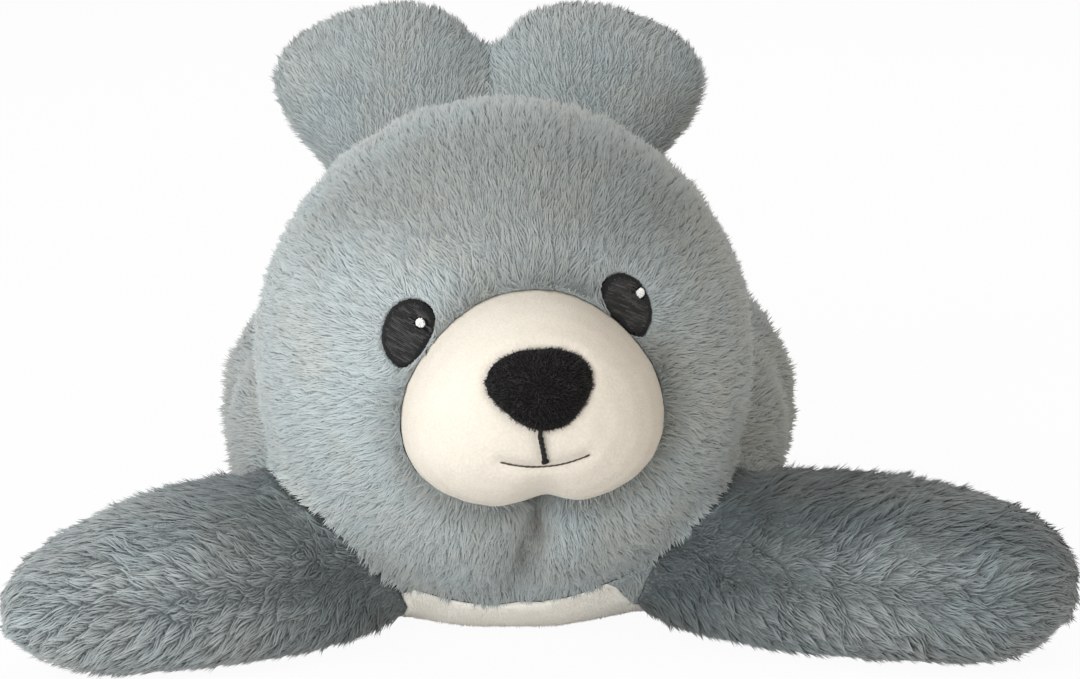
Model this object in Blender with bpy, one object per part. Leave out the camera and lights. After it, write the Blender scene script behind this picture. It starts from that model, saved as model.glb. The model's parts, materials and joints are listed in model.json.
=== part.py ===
"""Plush seal lying on its belly, built piece by piece as it is sewn and stuffed.

Units are metres, +Z is up and the seal looks along -Y, so +X is its own left side.
The stuffed pieces have the outline of their pile. The head is placed first, and the
rest is measured from the point on the floor under its centre. At the end the whole
seal is moved so that its origin is the bottom centre of its box.
"""

import math

import bmesh
import bpy
from mathutils import Matrix, Vector
from mathutils.bvhtree import BVHTree

# Clearance left at every sewn contact
SEAM_GAP = 0.0003

# Head, a stuffed ball with its chin just above the floor
HEAD_WIDTH = 0.151
HEAD_DEPTH = 0.144
HEAD_HEIGHT = 0.154
CHIN_CLEARANCE = 0.008
CHIN_TUCK_DEPTH = 0.0055
CHIN_TUCK_WIDTH = 0.0065
CHIN_TUCK_SLANT = -0.20
CHEEK_FULLNESS = 0.0025

# Muzzle, a bulging dome of short pile set into the head
MUZZLE_WIDTH = 0.0735
MUZZLE_HEIGHT = 0.0619
MUZZLE_REACH = 0.025
MUZZLE_SEAT = 0.058
MUZZLE_OFFSET_X = 0.0080
MUZZLE_OFFSET_Z = 0.0001
MUZZLE_TURN = math.radians(4.0)
MUZZLE_ROLL = math.radians(-3.5)
MUZZLE_SQUARENESS = 2.4
MUZZLE_EGG = 0.14
MUZZLE_TOP_TAPER = 0.16
MUZZLE_LOBE_NOTCH = 0.0040
MUZZLE_LOBE_WIDTH = 0.0045

# Nose, a padded patch on the muzzle, wide at the top and narrow at the bottom
NOSE_WIDTH = 0.0315
NOSE_HEIGHT = 0.0226
NOSE_SQUARENESS = 2.4
NOSE_TAPER = 0.36
NOSE_LEAN = 0.0015
NOSE_OFFSET_X = 0.0008
NOSE_RISE = 0.0087
NOSE_CROWN = 0.0022
NOSE_SINK = 0.0020

# Mouth, two thread lines under the nose
THREAD_DIAMETER = 0.0013
PHILTRUM_LENGTH = 0.0078
MOUTH_WIDTH = 0.0245
MOUTH_CURVE = 0.0022
MOUTH_OFFSET_X = 0.0010

# Eyes, embroidered ovals that lie a little under the pile around them
EYE_WIDTH = 0.0172
EYE_HEIGHT = 0.0205
EYE_LEAN = math.radians(9.0)
EYE_SINK = 0.0022
EYE_THICKNESS = 0.0022
EYE_CROWN = 0.0009
EYE_LEFT_TURN = math.radians(32.4)
EYE_LEFT_RISE = math.radians(20.6)
EYE_RIGHT_TURN = math.radians(-23.0)
EYE_RIGHT_RISE = math.radians(15.3)
GLINT_DIAMETER = 0.0028
GLINT_OFFSET_X = 0.0042
GLINT_OFFSET_Z = 0.0027
GLINT_CROWN = 0.0004
GLINT_SINK = 0.0007

# Body, a long loaf that the floor flattens, rising to the tail
BODY_HALF_WIDTH = 0.096
BODY_HALF_HEIGHT = 0.062
BODY_LEVEL = 0.0435
BODY_OFFSET_X = 0.0005
CHEST_FRONT = -0.030
CHEST_OFFSET_X = 0.005
BODY_LENGTH = 0.215
TAIL_RISE = 0.044
TAIL_STEM_HALF_WIDTH = 0.038
TAIL_STEM_HALF_DEPTH = 0.023
BODY_SQUARENESS = 2.1
CHEST_BLUNTNESS = 8
TAIL_BLUNTNESS = 5
FLANK_TUCK_DEPTH = 0.0050
FLANK_TUCK_WIDTH = 0.012
FLANK_TUCK_Y = 0.075

# Belly, a pale panel under the body and up the chest
BELLY_WIDTH = 0.112
BELLY_LENGTH = 0.185
BELLY_HEIGHT = 0.034
BELLY_THICKNESS = 0.0045

# Front flippers, thick paddles that lie on the floor
FLIPPER_HEIGHT = 0.056
FLIPPER_DEPTH = 0.074
FLIPPER_ROOT_HEIGHT = 0.048
FLIPPER_ROOT_DEPTH = 0.044
FLIPPER_SQUARENESS = 2.7
FLIPPER_ROOT_BLUNTNESS = 9
FLIPPER_TIP_BLUNTNESS = 3.4
FLIPPER_SEAM_DEPTH = 0.0030
FLIPPER_SEAM_WIDTH = math.radians(15.0)
FLIPPER_GATHER = 0.0014
FLIPPER_GATHER_COUNT = 6
FLIPPER_SAG = 0.005
FLIPPER_LEFT_REACH = 0.1695
FLIPPER_LEFT_SWEEP = math.radians(20.0)
FLIPPER_LEFT_TIP = 0.92
FLIPPER_RIGHT_REACH = 0.1450
FLIPPER_RIGHT_SWEEP = math.radians(30.0)
FLIPPER_RIGHT_TIP = 0.74
FLIPPER_ROOT_X = 0.035
FLIPPER_ROOT_Y = 0.006

# Rear flippers, two rounded lobes that stand up at the tail
LOBE_LENGTH = 0.0945
LOBE_WIDTH = 0.082
LOBE_THICKNESS = 0.036
LOBE_SQUARENESS = 2.1
LOBE_BLUNTNESS = 4.6
LOBE_ROOT_SHARE = 0.58
LOBE_WIDEST = 0.70
LOBE_CURL = 0.008
LOBE_SPLAY = math.radians(17.0)
LOBE_LEAN_BACK = math.radians(10.0)
LOBE_SEAM_DEPTH = 0.0020
LOBE_SEAM_WIDTH = 0.20
LOBE_ROOT_Z = 0.072
LOBE_ROOT_Y = 0.243
LOBE_ROOT_SPREAD = 0.0165
LOBE_OFFSET_X = -0.008

# Fineness of the meshes, as rings along a piece and segments around it
HEAD_RINGS = 26
HEAD_SEGMENTS = 34
CHIN_CLOSENESS = 0.45
MUZZLE_RINGS = 16
MUZZLE_SEGMENTS = 30
BODY_RINGS = 26
BODY_SEGMENTS = 28
FLIPPER_RINGS = 22
FLIPPER_SEGMENTS = 24
LOBE_RINGS = 16
LOBE_SEGMENTS = 22
PATCH_RINGS = 3
PATCH_SEGMENTS = 20
GLINT_SEGMENTS = 10
THREAD_SIDES = 6
THREAD_STEPS = 14

# Colours
FUR_GREY = (0.34, 0.40, 0.42)
FUR_FLIPPER = (0.25, 0.30, 0.32)
PILE_CREAM = (0.86, 0.82, 0.74)
PILE_BLACK = (0.015, 0.012, 0.013)
THREAD_BLACK = (0.02, 0.02, 0.02)
THREAD_CHARCOAL = (0.04, 0.038, 0.036)
THREAD_WHITE = (0.85, 0.85, 0.83)

HEAD_CENTRE = Vector((0.0, 0.0, CHIN_CLEARANCE + HEAD_HEIGHT / 2))


def clear_scene():
    """Remove whatever the scene holds."""
    for old in list(bpy.data.objects):
        bpy.data.objects.remove(old, do_unlink=True)


def finish(name, colour, roughness):
    """Make a plain material of one colour."""
    made = bpy.data.materials.new(name)
    made.use_nodes = True
    shader = made.node_tree.nodes["Principled BSDF"]
    shader.inputs["Base Color"].default_value = (*colour, 1.0)
    shader.inputs["Roughness"].default_value = roughness
    shader.inputs["Metallic"].default_value = 0.0
    return made


def place(name, mesh, material):
    """Put a mesh in the scene under the seal's own empty."""
    mesh.materials.append(material)
    mesh.shade_smooth()
    made = bpy.data.objects.new(name, mesh)
    bpy.context.collection.objects.link(made)
    made.parent = bpy.data.objects["seal_origin"]
    return made


def mesh_from(name, made):
    """Close off a bmesh with its faces pointing out."""
    bmesh.ops.recalc_face_normals(made, faces=made.faces)
    mesh = bpy.data.meshes.new(name)
    made.to_mesh(mesh)
    made.free()
    return mesh


def ring_form(name, point, rings, segments, on_floor=False):
    """Loft a closed form from a pole through rings to a pole.

    point(polar, around) gives the surface for a polar angle from 0 to pi and an
    angle around the form's own axis. A form that rests on the floor is flat there.
    """
    made = bmesh.new()

    def vertex(polar, around):
        spot = point(polar, around)
        if on_floor:
            spot.z = max(spot.z, 0.0)
        return made.verts.new(spot)

    first = vertex(0.0, 0.0)
    last = vertex(math.pi, 0.0)
    hoops = []
    for ring in range(1, rings):
        polar = math.pi * ring / rings
        hoops.append([vertex(polar, math.tau * k / segments) for k in range(segments)])
    for here, following in zip(hoops, hoops[1:]):
        for k in range(segments):
            j = (k + 1) % segments
            made.faces.new((here[k], here[j], following[j], following[k]))
    for k in range(segments):
        j = (k + 1) % segments
        made.faces.new((first, hoops[0][j], hoops[0][k]))
        made.faces.new((last, hoops[-1][k], hoops[-1][j]))
    return mesh_from(name, made)


def swollen(mesh, distance):
    """Copy a mesh with its surface moved out, or in where distance is negative."""
    copy = mesh.copy()
    made = bmesh.new()
    made.from_mesh(copy)
    made.normal_update()
    moved = [(v, v.co + v.normal * distance * v.calc_shell_factor()) for v in made.verts]
    for v, spot in moved:
        v.co = spot
    made.to_mesh(copy)
    made.free()
    return copy


def guide(name, mesh):
    """Place a mesh that only cuts others."""
    made = bpy.data.objects.new(name, mesh)
    bpy.context.collection.objects.link(made)
    made.parent = bpy.data.objects["seal_origin"]
    made.hide_render = True
    made.display_type = "WIRE"
    return made


def boolean(target, tool, operation):
    """Give an object one Boolean step."""
    step = target.modifiers.new(tool.name, "BOOLEAN")
    step.operation = operation
    step.object = tool
    step.solver = "EXACT"


def bump(value, width):
    """Give a smooth hump of height 1 around zero."""
    return math.exp(-((value / width) ** 2))


def ramp(value, low, high):
    """Rise smoothly from 0 at low to 1 at high."""
    share = min(max((value - low) / (high - low), 0.0), 1.0)
    return share * share * (3 - 2 * share)


def superellipse(around, half_a, half_b, power):
    """Give the point of a squarish oval at an angle."""
    c = math.cos(around)
    s = math.sin(around)
    size = (abs(c) ** power + abs(s) ** power) ** (-1 / power)
    return half_a * c * size, half_b * s * size


def rounding(share, first, last):
    """Size of a section at a share of a form's length, for a bluntness at each end."""
    bluntness = first if share < 0.5 else last
    return math.sqrt(1 - abs(2 * share - 1) ** bluntness)


def head_point(polar, around):
    """Surface of the head, a ball with full cheeks and a tuck under the muzzle.

    The mesh is closest together under the chin, where the tuck runs.
    """
    around -= CHIN_CLOSENESS * math.cos(around)
    x = math.sin(polar) * math.cos(around)
    y = -math.cos(polar)
    z = math.sin(polar) * math.sin(around)
    spot = Vector((x * HEAD_WIDTH / 2, y * HEAD_DEPTH / 2, z * HEAD_HEIGHT / 2))
    out = Vector((x, y, z))
    cheek = bump(abs(x) - 0.72, 0.35) * bump(z + 0.45, 0.35) * ramp(-y, -0.2, 0.5)
    spot += out * CHEEK_FULLNESS * cheek
    tuck_x = MUZZLE_OFFSET_X - CHIN_TUCK_SLANT * (spot.z + 0.3 * HEAD_HEIGHT)
    tuck = bump(spot.x - tuck_x, CHIN_TUCK_WIDTH) * ramp(-y, 0.0, 0.3) * ramp(-z, 0.25, 0.5)
    tuck *= 1 - ramp(-z, 0.86, 0.97)
    spot -= out * CHIN_TUCK_DEPTH * tuck
    return HEAD_CENTRE + spot


def muzzle_frame():
    """Place the muzzle's own axes: X across, Y back into the head, Z up."""
    seat = HEAD_CENTRE + Vector((MUZZLE_OFFSET_X, -MUZZLE_SEAT, MUZZLE_OFFSET_Z))
    turn = Matrix.Rotation(MUZZLE_TURN, 4, "Z") @ Matrix.Rotation(MUZZLE_ROLL, 4, "Y")
    return Matrix.Translation(seat) @ turn


def muzzle_point(polar, around):
    """Surface of the muzzle, egg-shaped with its wide side down and notched between its lobes."""
    x = math.sin(polar) * math.cos(around)
    y = -math.cos(polar)
    z = math.sin(polar) * math.sin(around)
    length = HEAD_DEPTH / 2 + MUZZLE_REACH - MUZZLE_SEAT
    across = x * MUZZLE_WIDTH / 2 * (1 - MUZZLE_EGG * z - MUZZLE_TOP_TAPER * ramp(z, 0.0, 1.0))
    forward = y * length
    up = z * MUZZLE_HEIGHT / 2
    if y < 0:
        power = MUZZLE_SQUARENESS
        fuller = (abs(x) ** power + abs(y) ** power + abs(z) ** power) ** (-1 / power)
        across *= fuller
        forward *= fuller
        up *= fuller
    below = ramp(-z, 0.30, 0.95)
    notch = MUZZLE_LOBE_NOTCH * bump(across, MUZZLE_LOBE_WIDTH) * below
    return muzzle_frame() @ Vector((across, forward + 0.6 * notch, up + notch))


class Carrier:
    """A curved surface that patches and threads are laid on."""

    def __init__(self, mesh, frame):
        made = bmesh.new()
        made.from_mesh(mesh)
        made.transform(frame.inverted())
        self.tree = BVHTree.FromBMesh(made)
        self.frame = frame
        made.free()

    def at(self, across, up):
        """Point and normal seen from the front at a place on the face."""
        start = Vector((across, -1.0, up))
        spot, normal, _, _ = self.tree.ray_cast(start, Vector((0, 1, 0)))
        return spot, normal


def patch(name, carrier, centre, outline, crown, sink, lift=0.0, segments=PATCH_SEGMENTS):
    """Lay a crowned patch on a carrier, with a flat back inside it.

    outline(around) is the patch's edge about its centre, lift moves it off the surface.
    """
    made = bmesh.new()
    fronts = []
    backs = []
    for ring in range(PATCH_RINGS + 1):
        share = ring / PATCH_RINGS
        turns = 1 if ring == 0 else segments
        front = []
        back = []
        for k in range(turns):
            across, up = outline(math.tau * k / segments)
            spot, normal = carrier.at(centre[0] + across * share, centre[1] + up * share)
            height = lift + crown * math.sqrt(max(1 - share ** 2.6, 0.0)) + crown * 0.15
            front.append(made.verts.new(carrier.frame @ (spot + normal * height)))
            back.append(made.verts.new(carrier.frame @ (spot + normal * (lift - sink))))
        fronts.append(front)
        backs.append(back)
    for k in range(segments):
        j = (k + 1) % segments
        made.faces.new((fronts[0][0], fronts[1][k], fronts[1][j]))
        made.faces.new((backs[0][0], backs[1][j], backs[1][k]))
        made.faces.new((fronts[-1][k], backs[-1][k], backs[-1][j], fronts[-1][j]))
        for ring in range(1, PATCH_RINGS):
            outer = fronts[ring + 1]
            inner = fronts[ring]
            made.faces.new((inner[k], outer[k], outer[j], inner[j]))
            outer = backs[ring + 1]
            inner = backs[ring]
            made.faces.new((inner[k], inner[j], outer[j], outer[k]))
    return mesh_from(name, made)


def thread(name, carrier, course):
    """Lay a round thread along a course of places on the face, half sunk in the pile."""
    made = bmesh.new()
    spots = [carrier.at(*place_on) for place_on in course]
    hoops = []
    for k, (spot, normal) in enumerate(spots):
        ahead = spots[min(k + 1, len(spots) - 1)][0] - spots[max(k - 1, 0)][0]
        side = ahead.cross(normal).normalized() * THREAD_DIAMETER / 2
        rise = normal.normalized() * THREAD_DIAMETER / 2
        hoop = []
        for turn in range(THREAD_SIDES):
            angle = math.tau * turn / THREAD_SIDES
            corner = spot + side * math.cos(angle) + rise * math.sin(angle)
            hoop.append(made.verts.new(carrier.frame @ corner))
        hoops.append(hoop)
    for here, following in zip(hoops, hoops[1:]):
        for turn in range(THREAD_SIDES):
            after = (turn + 1) % THREAD_SIDES
            made.faces.new((here[turn], here[after], following[after], following[turn]))
    made.faces.new(hoops[0][::-1])
    made.faces.new(hoops[-1])
    return mesh_from(name, made)


def nose_outline(around):
    """Edge of the nose, a rounded triangle with its wide side up."""
    across, up = superellipse(around, NOSE_WIDTH / 2, NOSE_HEIGHT / 2, NOSE_SQUARENESS)
    low = ramp(-up, -0.15 * NOSE_HEIGHT, 0.5 * NOSE_HEIGHT)
    return across * (1 - NOSE_TAPER * low) + NOSE_LEAN * low, up


def eye_outline(lean):
    """Edge of an eye, an oval that leans in at the top."""
    def edge(around):
        across = EYE_WIDTH / 2 * math.cos(around)
        up = EYE_HEIGHT / 2 * math.sin(around)
        return (across * math.cos(lean) - up * math.sin(lean),
                across * math.sin(lean) + up * math.cos(lean))
    return edge


def glint_outline(around):
    """Edge of the white glint in an eye."""
    return GLINT_DIAMETER / 2 * math.cos(around), GLINT_DIAMETER / 2 * math.sin(around)


def eye_frame(turn, rise):
    """Axes of an eye on the head: X across, Y into the head, Z up."""
    facing = Matrix.Rotation(turn, 4, "Z") @ Matrix.Rotation(-rise, 4, "X")
    return Matrix.Translation(HEAD_CENTRE) @ facing


def body_spine(share):
    """Centre, forward direction and half sizes of the body at a share of its spine."""
    width = BODY_HALF_WIDTH
    height = BODY_HALF_HEIGHT
    length = BODY_LENGTH
    stem = TAIL_STEM_HALF_WIDTH
    depth = TAIL_STEM_HALF_DEPTH
    stations = [
        (CHEST_FRONT, BODY_LEVEL * 0.80, width * 0.62, height * 0.72),
        (0.06 * length, BODY_LEVEL * 0.92, width * 0.80, height * 0.88),
        (0.30 * length, BODY_LEVEL, width * 0.97, height * 0.98),
        (0.55 * length, BODY_LEVEL, width, height),
        (0.76 * length, BODY_LEVEL * 0.97, width * 0.84, height * 0.86),
        (0.93 * length, BODY_LEVEL * 1.05, width * 0.60, height * 0.62),
        (1.06 * length, BODY_LEVEL + TAIL_RISE * 0.38, stem * 1.10, depth * 1.22),
        (1.13 * length, BODY_LEVEL + TAIL_RISE, stem, depth),
    ]
    along = share * (len(stations) - 1)
    k = min(int(along), len(stations) - 2)
    part = along - k
    last = len(stations) - 1
    four = [stations[max(k - 1, 0)], stations[k], stations[k + 1], stations[min(k + 2, last)]]
    here = [curve_value(values, part) for values in zip(*four)]
    slope = [curve_slope(values, part) for values in zip(*four)]
    ahead = Vector((0.0, slope[0], slope[1])).normalized()
    return Vector((BODY_OFFSET_X, here[0], here[1])), ahead, here[2], here[3]


def curve_value(values, part):
    """Pass a smooth curve through four values, between the middle two."""
    a, b, c, d = values
    straight = 2 * b + (c - a) * part
    bend = (2 * a - 5 * b + 4 * c - d) * part ** 2 + (3 * b - a - 3 * c + d) * part ** 3
    return (straight + bend) / 2


def curve_slope(values, part):
    """Slope of the same curve."""
    a, b, c, d = values
    bend = 2 * (2 * a - 5 * b + 4 * c - d) * part + 3 * (3 * b - a - 3 * c + d) * part ** 2
    return (c - a + bend) / 2


def body_point(polar, around):
    """Surface of the body, with its round ends at the chest and at the tail."""
    share = 0.5 - 0.5 * math.cos(polar)
    centre, ahead, half_width, half_height = body_spine(share)
    round_end = rounding(share, CHEST_BLUNTNESS, TAIL_BLUNTNESS)
    across, up = superellipse(around, half_width, half_height, BODY_SQUARENESS)
    flank = bump(centre.y - FLANK_TUCK_Y, FLANK_TUCK_WIDTH) * ramp(abs(math.cos(around)), 0.5, 0.9)
    across -= math.copysign(FLANK_TUCK_DEPTH * flank, across)
    upward = Vector((1, 0, 0)).cross(ahead)
    return centre + Vector((across * round_end, 0, 0)) + upward * up * round_end


def belly_zone(body_mesh, margin):
    """Guide for the belly panel: an oval column less the inside of the body."""
    made = bmesh.new()
    bmesh.ops.create_cone(made, cap_ends=True, segments=40, radius1=1, radius2=1, depth=1)
    half_width = BELLY_WIDTH / 2 + margin
    half_length = BELLY_LENGTH / 2 + margin
    size = Matrix.Diagonal((half_width, half_length, 2 * (BELLY_HEIGHT + margin), 1))
    middle = Vector((BODY_OFFSET_X, CHEST_FRONT + BELLY_LENGTH / 2 - BELLY_THICKNESS, 0))
    made.transform(Matrix.Translation(middle) @ size)
    label = "belly_zone_wide" if margin > 0 else "belly_zone"
    zone = guide(label, mesh_from(label, made))
    inside = guide(label + "_core", swollen(body_mesh, -BELLY_THICKNESS - margin))
    boolean(zone, inside, "DIFFERENCE")
    return zone


def flipper_point(side, reach, sweep, tip):
    """Surface of a front flipper, from its root under the head to its round tip."""
    root = Vector((CHEST_OFFSET_X + side * FLIPPER_ROOT_X, FLIPPER_ROOT_Y, 0))
    length = abs(side * reach - root.x) / math.cos(sweep)
    ahead = Vector((side * math.cos(sweep), -math.sin(sweep), 0))
    forward = Vector((-side * math.sin(sweep), -math.cos(sweep), 0))

    def point(polar, around):
        share = 0.5 - 0.5 * math.cos(polar)
        opened = ramp(share, 0.0, 0.45)
        slim = 1 - (1 - tip) * ramp(share, 0.4, 1.0)
        depth = (FLIPPER_ROOT_DEPTH + (FLIPPER_DEPTH - FLIPPER_ROOT_DEPTH) * opened) * slim
        height = (FLIPPER_ROOT_HEIGHT + (FLIPPER_HEIGHT - FLIPPER_ROOT_HEIGHT) * opened) * slim
        round_end = rounding(share, FLIPPER_ROOT_BLUNTNESS, FLIPPER_TIP_BLUNTNESS)
        front, up = superellipse(around, depth / 2, height / 2, FLIPPER_SQUARENESS)
        middle = ramp(share, 0.06, 0.3) * (1 - ramp(share, 0.62, 0.92))
        off_seam = math.atan2(math.sin(around), math.cos(around))
        seam = FLIPPER_SEAM_DEPTH * bump(off_seam, FLIPPER_SEAM_WIDTH) * middle
        pleats = FLIPPER_GATHER * math.cos(FLIPPER_GATHER_COUNT * around) * (1 - ramp(share, 0.15, 0.5))
        size = round_end * (1 - (seam + pleats) / (FLIPPER_HEIGHT / 2))
        level = (FLIPPER_HEIGHT + height) / 4 - FLIPPER_SAG
        spot = root + ahead * (share * length) + forward * front * size
        spot.z = level + up * size
        return spot

    return point


def lobe_point(side):
    """Surface of a rear flipper, a flat rounded lobe with a seam along its middle."""
    splay = Matrix.Rotation(side * LOBE_SPLAY, 3, "Y")
    lean = Matrix.Rotation(-LOBE_LEAN_BACK, 3, "X")
    root = Vector((LOBE_OFFSET_X + side * LOBE_ROOT_SPREAD, LOBE_ROOT_Y, LOBE_ROOT_Z))

    def point(polar, around):
        share = 0.5 - 0.5 * math.cos(polar)
        full = LOBE_ROOT_SHARE + (1 - LOBE_ROOT_SHARE) * ramp(share, 0.0, LOBE_WIDEST)
        round_end = rounding(share, LOBE_BLUNTNESS, LOBE_BLUNTNESS)
        across, thick = superellipse(around, LOBE_WIDTH / 2 * full, LOBE_THICKNESS / 2, LOBE_SQUARENESS)
        seam = LOBE_SEAM_DEPTH * bump(across / LOBE_WIDTH, LOBE_SEAM_WIDTH / 2) * ramp(share, 0.05, 0.3)
        thick -= math.copysign(min(seam * (1 - ramp(share, 0.6, 0.95)), abs(thick)), thick)
        curl = side * LOBE_CURL * ramp(share, 0.35, 1.0)
        local = Vector((across * round_end + curl, thick * round_end, share * LOBE_LENGTH))
        return root + lean @ (splay @ local)

    return point


def build_eye(label, head_mesh, turn, rise, lean, muzzle_cut, charcoal, white):
    """One embroidered eye and its glint."""
    carrier = Carrier(head_mesh, eye_frame(turn, rise))
    lift = -EYE_SINK
    mesh = patch(f"eye_{label}", carrier, (0, 0), eye_outline(lean), EYE_CROWN, EYE_THICKNESS, lift)
    eye = place(f"eye_{label}", mesh, charcoal)
    pocket = patch(f"eye_pocket_{label}", carrier, (0, 0), eye_outline(lean), 2 * EYE_SINK, EYE_THICKNESS,
                   lift)
    on_eye = Carrier(mesh, eye_frame(turn, rise))
    place_on = (GLINT_OFFSET_X, GLINT_OFFSET_Z)
    glint_mesh = patch(f"eye_glint_{label}", on_eye, place_on, glint_outline, GLINT_CROWN, GLINT_SINK,
                       segments=GLINT_SEGMENTS)
    place(f"eye_glint_{label}", glint_mesh, white)
    boolean(eye, guide(f"glint_cut_{label}", swollen(glint_mesh, SEAM_GAP)), "DIFFERENCE")
    boolean(eye, muzzle_cut, "DIFFERENCE")
    return guide(f"eye_cut_{label}", swollen(pocket, SEAM_GAP))


def build_muzzle(cream, black, thread_black):
    """Muzzle with its nose and mouth."""
    mesh = ring_form("muzzle", muzzle_point, MUZZLE_RINGS, MUZZLE_SEGMENTS)
    muzzle = place("muzzle", mesh, cream)
    carrier = Carrier(mesh, muzzle_frame())
    middle = (NOSE_OFFSET_X, NOSE_RISE)
    nose_mesh = patch("nose", carrier, middle, nose_outline, NOSE_CROWN, NOSE_SINK)
    place("nose", nose_mesh, black)
    lip_top = NOSE_RISE - NOSE_HEIGHT / 2 - 2 * SEAM_GAP
    lip_end = lip_top - PHILTRUM_LENGTH
    down = []
    for k in range(THREAD_STEPS + 1):
        share = k / THREAD_STEPS
        down.append((MOUTH_OFFSET_X * share, lip_top + (lip_end - lip_top) * share))
    philtrum_mesh = thread("philtrum_thread", carrier, down)
    place("philtrum_thread", philtrum_mesh, thread_black)
    level = lip_end - THREAD_DIAMETER - SEAM_GAP
    smile = []
    for k in range(-THREAD_STEPS, THREAD_STEPS + 1):
        share = k / THREAD_STEPS
        across = MOUTH_OFFSET_X + share * MOUTH_WIDTH / 2
        smile.append((across, level + MOUTH_CURVE * share * share))
    mouth_mesh = thread("mouth_thread", carrier, smile)
    place("mouth_thread", mouth_mesh, thread_black)
    for label, laid in (("nose", nose_mesh), ("philtrum", philtrum_mesh), ("mouth", mouth_mesh)):
        boolean(muzzle, guide(f"{label}_cut", swollen(laid, SEAM_GAP)), "DIFFERENCE")
    return mesh


def build_body(fur, cream, head_cut):
    """Body and its belly panel, hollowed where the head sits."""
    mesh = ring_form("body", body_point, BODY_RINGS, BODY_SEGMENTS, on_floor=True)
    body = place("body", mesh, fur)
    boolean(body, belly_zone(mesh, SEAM_GAP), "DIFFERENCE")
    boolean(body, head_cut, "DIFFERENCE")
    belly_mesh = mesh.copy()
    belly_mesh.materials.clear()
    belly = place("belly_panel", belly_mesh, cream)
    boolean(belly, belly_zone(mesh, 0.0), "INTERSECT")
    boolean(belly, head_cut, "DIFFERENCE")
    return mesh


def build_flippers(fur, head_cut, body_cut):
    """The two front flippers, let in around the body and the head."""
    sides = (("left", 1, FLIPPER_LEFT_REACH, FLIPPER_LEFT_SWEEP, FLIPPER_LEFT_TIP),
             ("right", -1, FLIPPER_RIGHT_REACH, FLIPPER_RIGHT_SWEEP, FLIPPER_RIGHT_TIP))
    for label, side, reach, sweep, tip in sides:
        name = f"front_flipper_{label}"
        surface = flipper_point(side, reach, sweep, tip)
        mesh = ring_form(name, surface, FLIPPER_RINGS, FLIPPER_SEGMENTS, on_floor=True)
        flipper = place(name, mesh, fur)
        boolean(flipper, body_cut, "DIFFERENCE")
        boolean(flipper, head_cut, "DIFFERENCE")


def build_lobes(fur, body_cut):
    """The two rear flippers, which meet in a crease above the tail."""
    left_mesh = ring_form("rear_flipper_left", lobe_point(1), LOBE_RINGS, LOBE_SEGMENTS)
    right_mesh = ring_form("rear_flipper_right", lobe_point(-1), LOBE_RINGS, LOBE_SEGMENTS)
    left_cut = guide("rear_left_cut", swollen(left_mesh, SEAM_GAP))
    left = place("rear_flipper_left", left_mesh, fur)
    right = place("rear_flipper_right", right_mesh, fur)
    boolean(left, body_cut, "DIFFERENCE")
    boolean(right, body_cut, "DIFFERENCE")
    boolean(right, left_cut, "DIFFERENCE")


def set_on_origin():
    """Move the whole seal so that the bottom centre of its box is the origin."""
    bpy.context.view_layer.update()
    graph = bpy.context.evaluated_depsgraph_get()
    corners = []
    for piece in bpy.data.objects:
        if piece.type == "MESH" and not piece.hide_render:
            solid = piece.evaluated_get(graph).data
            corners += [piece.matrix_world @ v.co for v in solid.vertices]
    low = Vector([min(c[k] for c in corners) for k in range(3)])
    high = Vector([max(c[k] for c in corners) for k in range(3)])
    middle = (low + high) / 2
    bpy.data.objects["seal_origin"].location = (-middle.x, -middle.y, -low.z)


def main():
    """Build the seal."""
    clear_scene()
    origin = bpy.data.objects.new("seal_origin", None)
    bpy.context.collection.objects.link(origin)
    fur = finish("grey_fur", FUR_GREY, 0.9)
    flipper_fur = finish("flipper_fur", FUR_FLIPPER, 0.9)
    cream = finish("cream_pile", PILE_CREAM, 0.9)
    black = finish("black_pile", PILE_BLACK, 0.85)
    thread_black = finish("black_thread", THREAD_BLACK, 0.6)
    charcoal = finish("charcoal_thread", THREAD_CHARCOAL, 0.55)
    white = finish("white_thread", THREAD_WHITE, 0.5)

    head_mesh = ring_form("head", head_point, HEAD_RINGS, HEAD_SEGMENTS)
    head = place("head", head_mesh, fur)
    head_cut = guide("head_cut", swollen(head_mesh, SEAM_GAP))
    muzzle_mesh = build_muzzle(cream, black, thread_black)
    muzzle_cut = guide("muzzle_cut", swollen(muzzle_mesh, SEAM_GAP))
    boolean(head, muzzle_cut, "DIFFERENCE")
    eyes = (("left", EYE_LEFT_TURN, EYE_LEFT_RISE, EYE_LEAN),
            ("right", EYE_RIGHT_TURN, EYE_RIGHT_RISE, -EYE_LEAN))
    for label, turn, rise, lean in eyes:
        eye_cut = build_eye(label, head_mesh, turn, rise, lean, muzzle_cut, charcoal, white)
        boolean(head, eye_cut, "DIFFERENCE")

    body_mesh = build_body(fur, cream, head_cut)
    body_cut = guide("body_cut", swollen(body_mesh, SEAM_GAP))
    build_flippers(flipper_fur, head_cut, body_cut)
    build_lobes(fur, body_cut)
    set_on_origin()


main()
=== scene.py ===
# %% [markdown]
# # Dressing a plush seal
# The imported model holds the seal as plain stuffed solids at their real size. This lesson gives
# them what a hand would feel: a sewn skin filled with fibre, long grey pile, a cream velour
# muzzle, and eyes and a mouth of thread. Every place and size is measured from the solids.

# %% Load the frame
import json
import math

import bmesh
import bpy
import numpy as np
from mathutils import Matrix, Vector, kdtree
from mathutils.bvhtree import BVHTree


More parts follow.
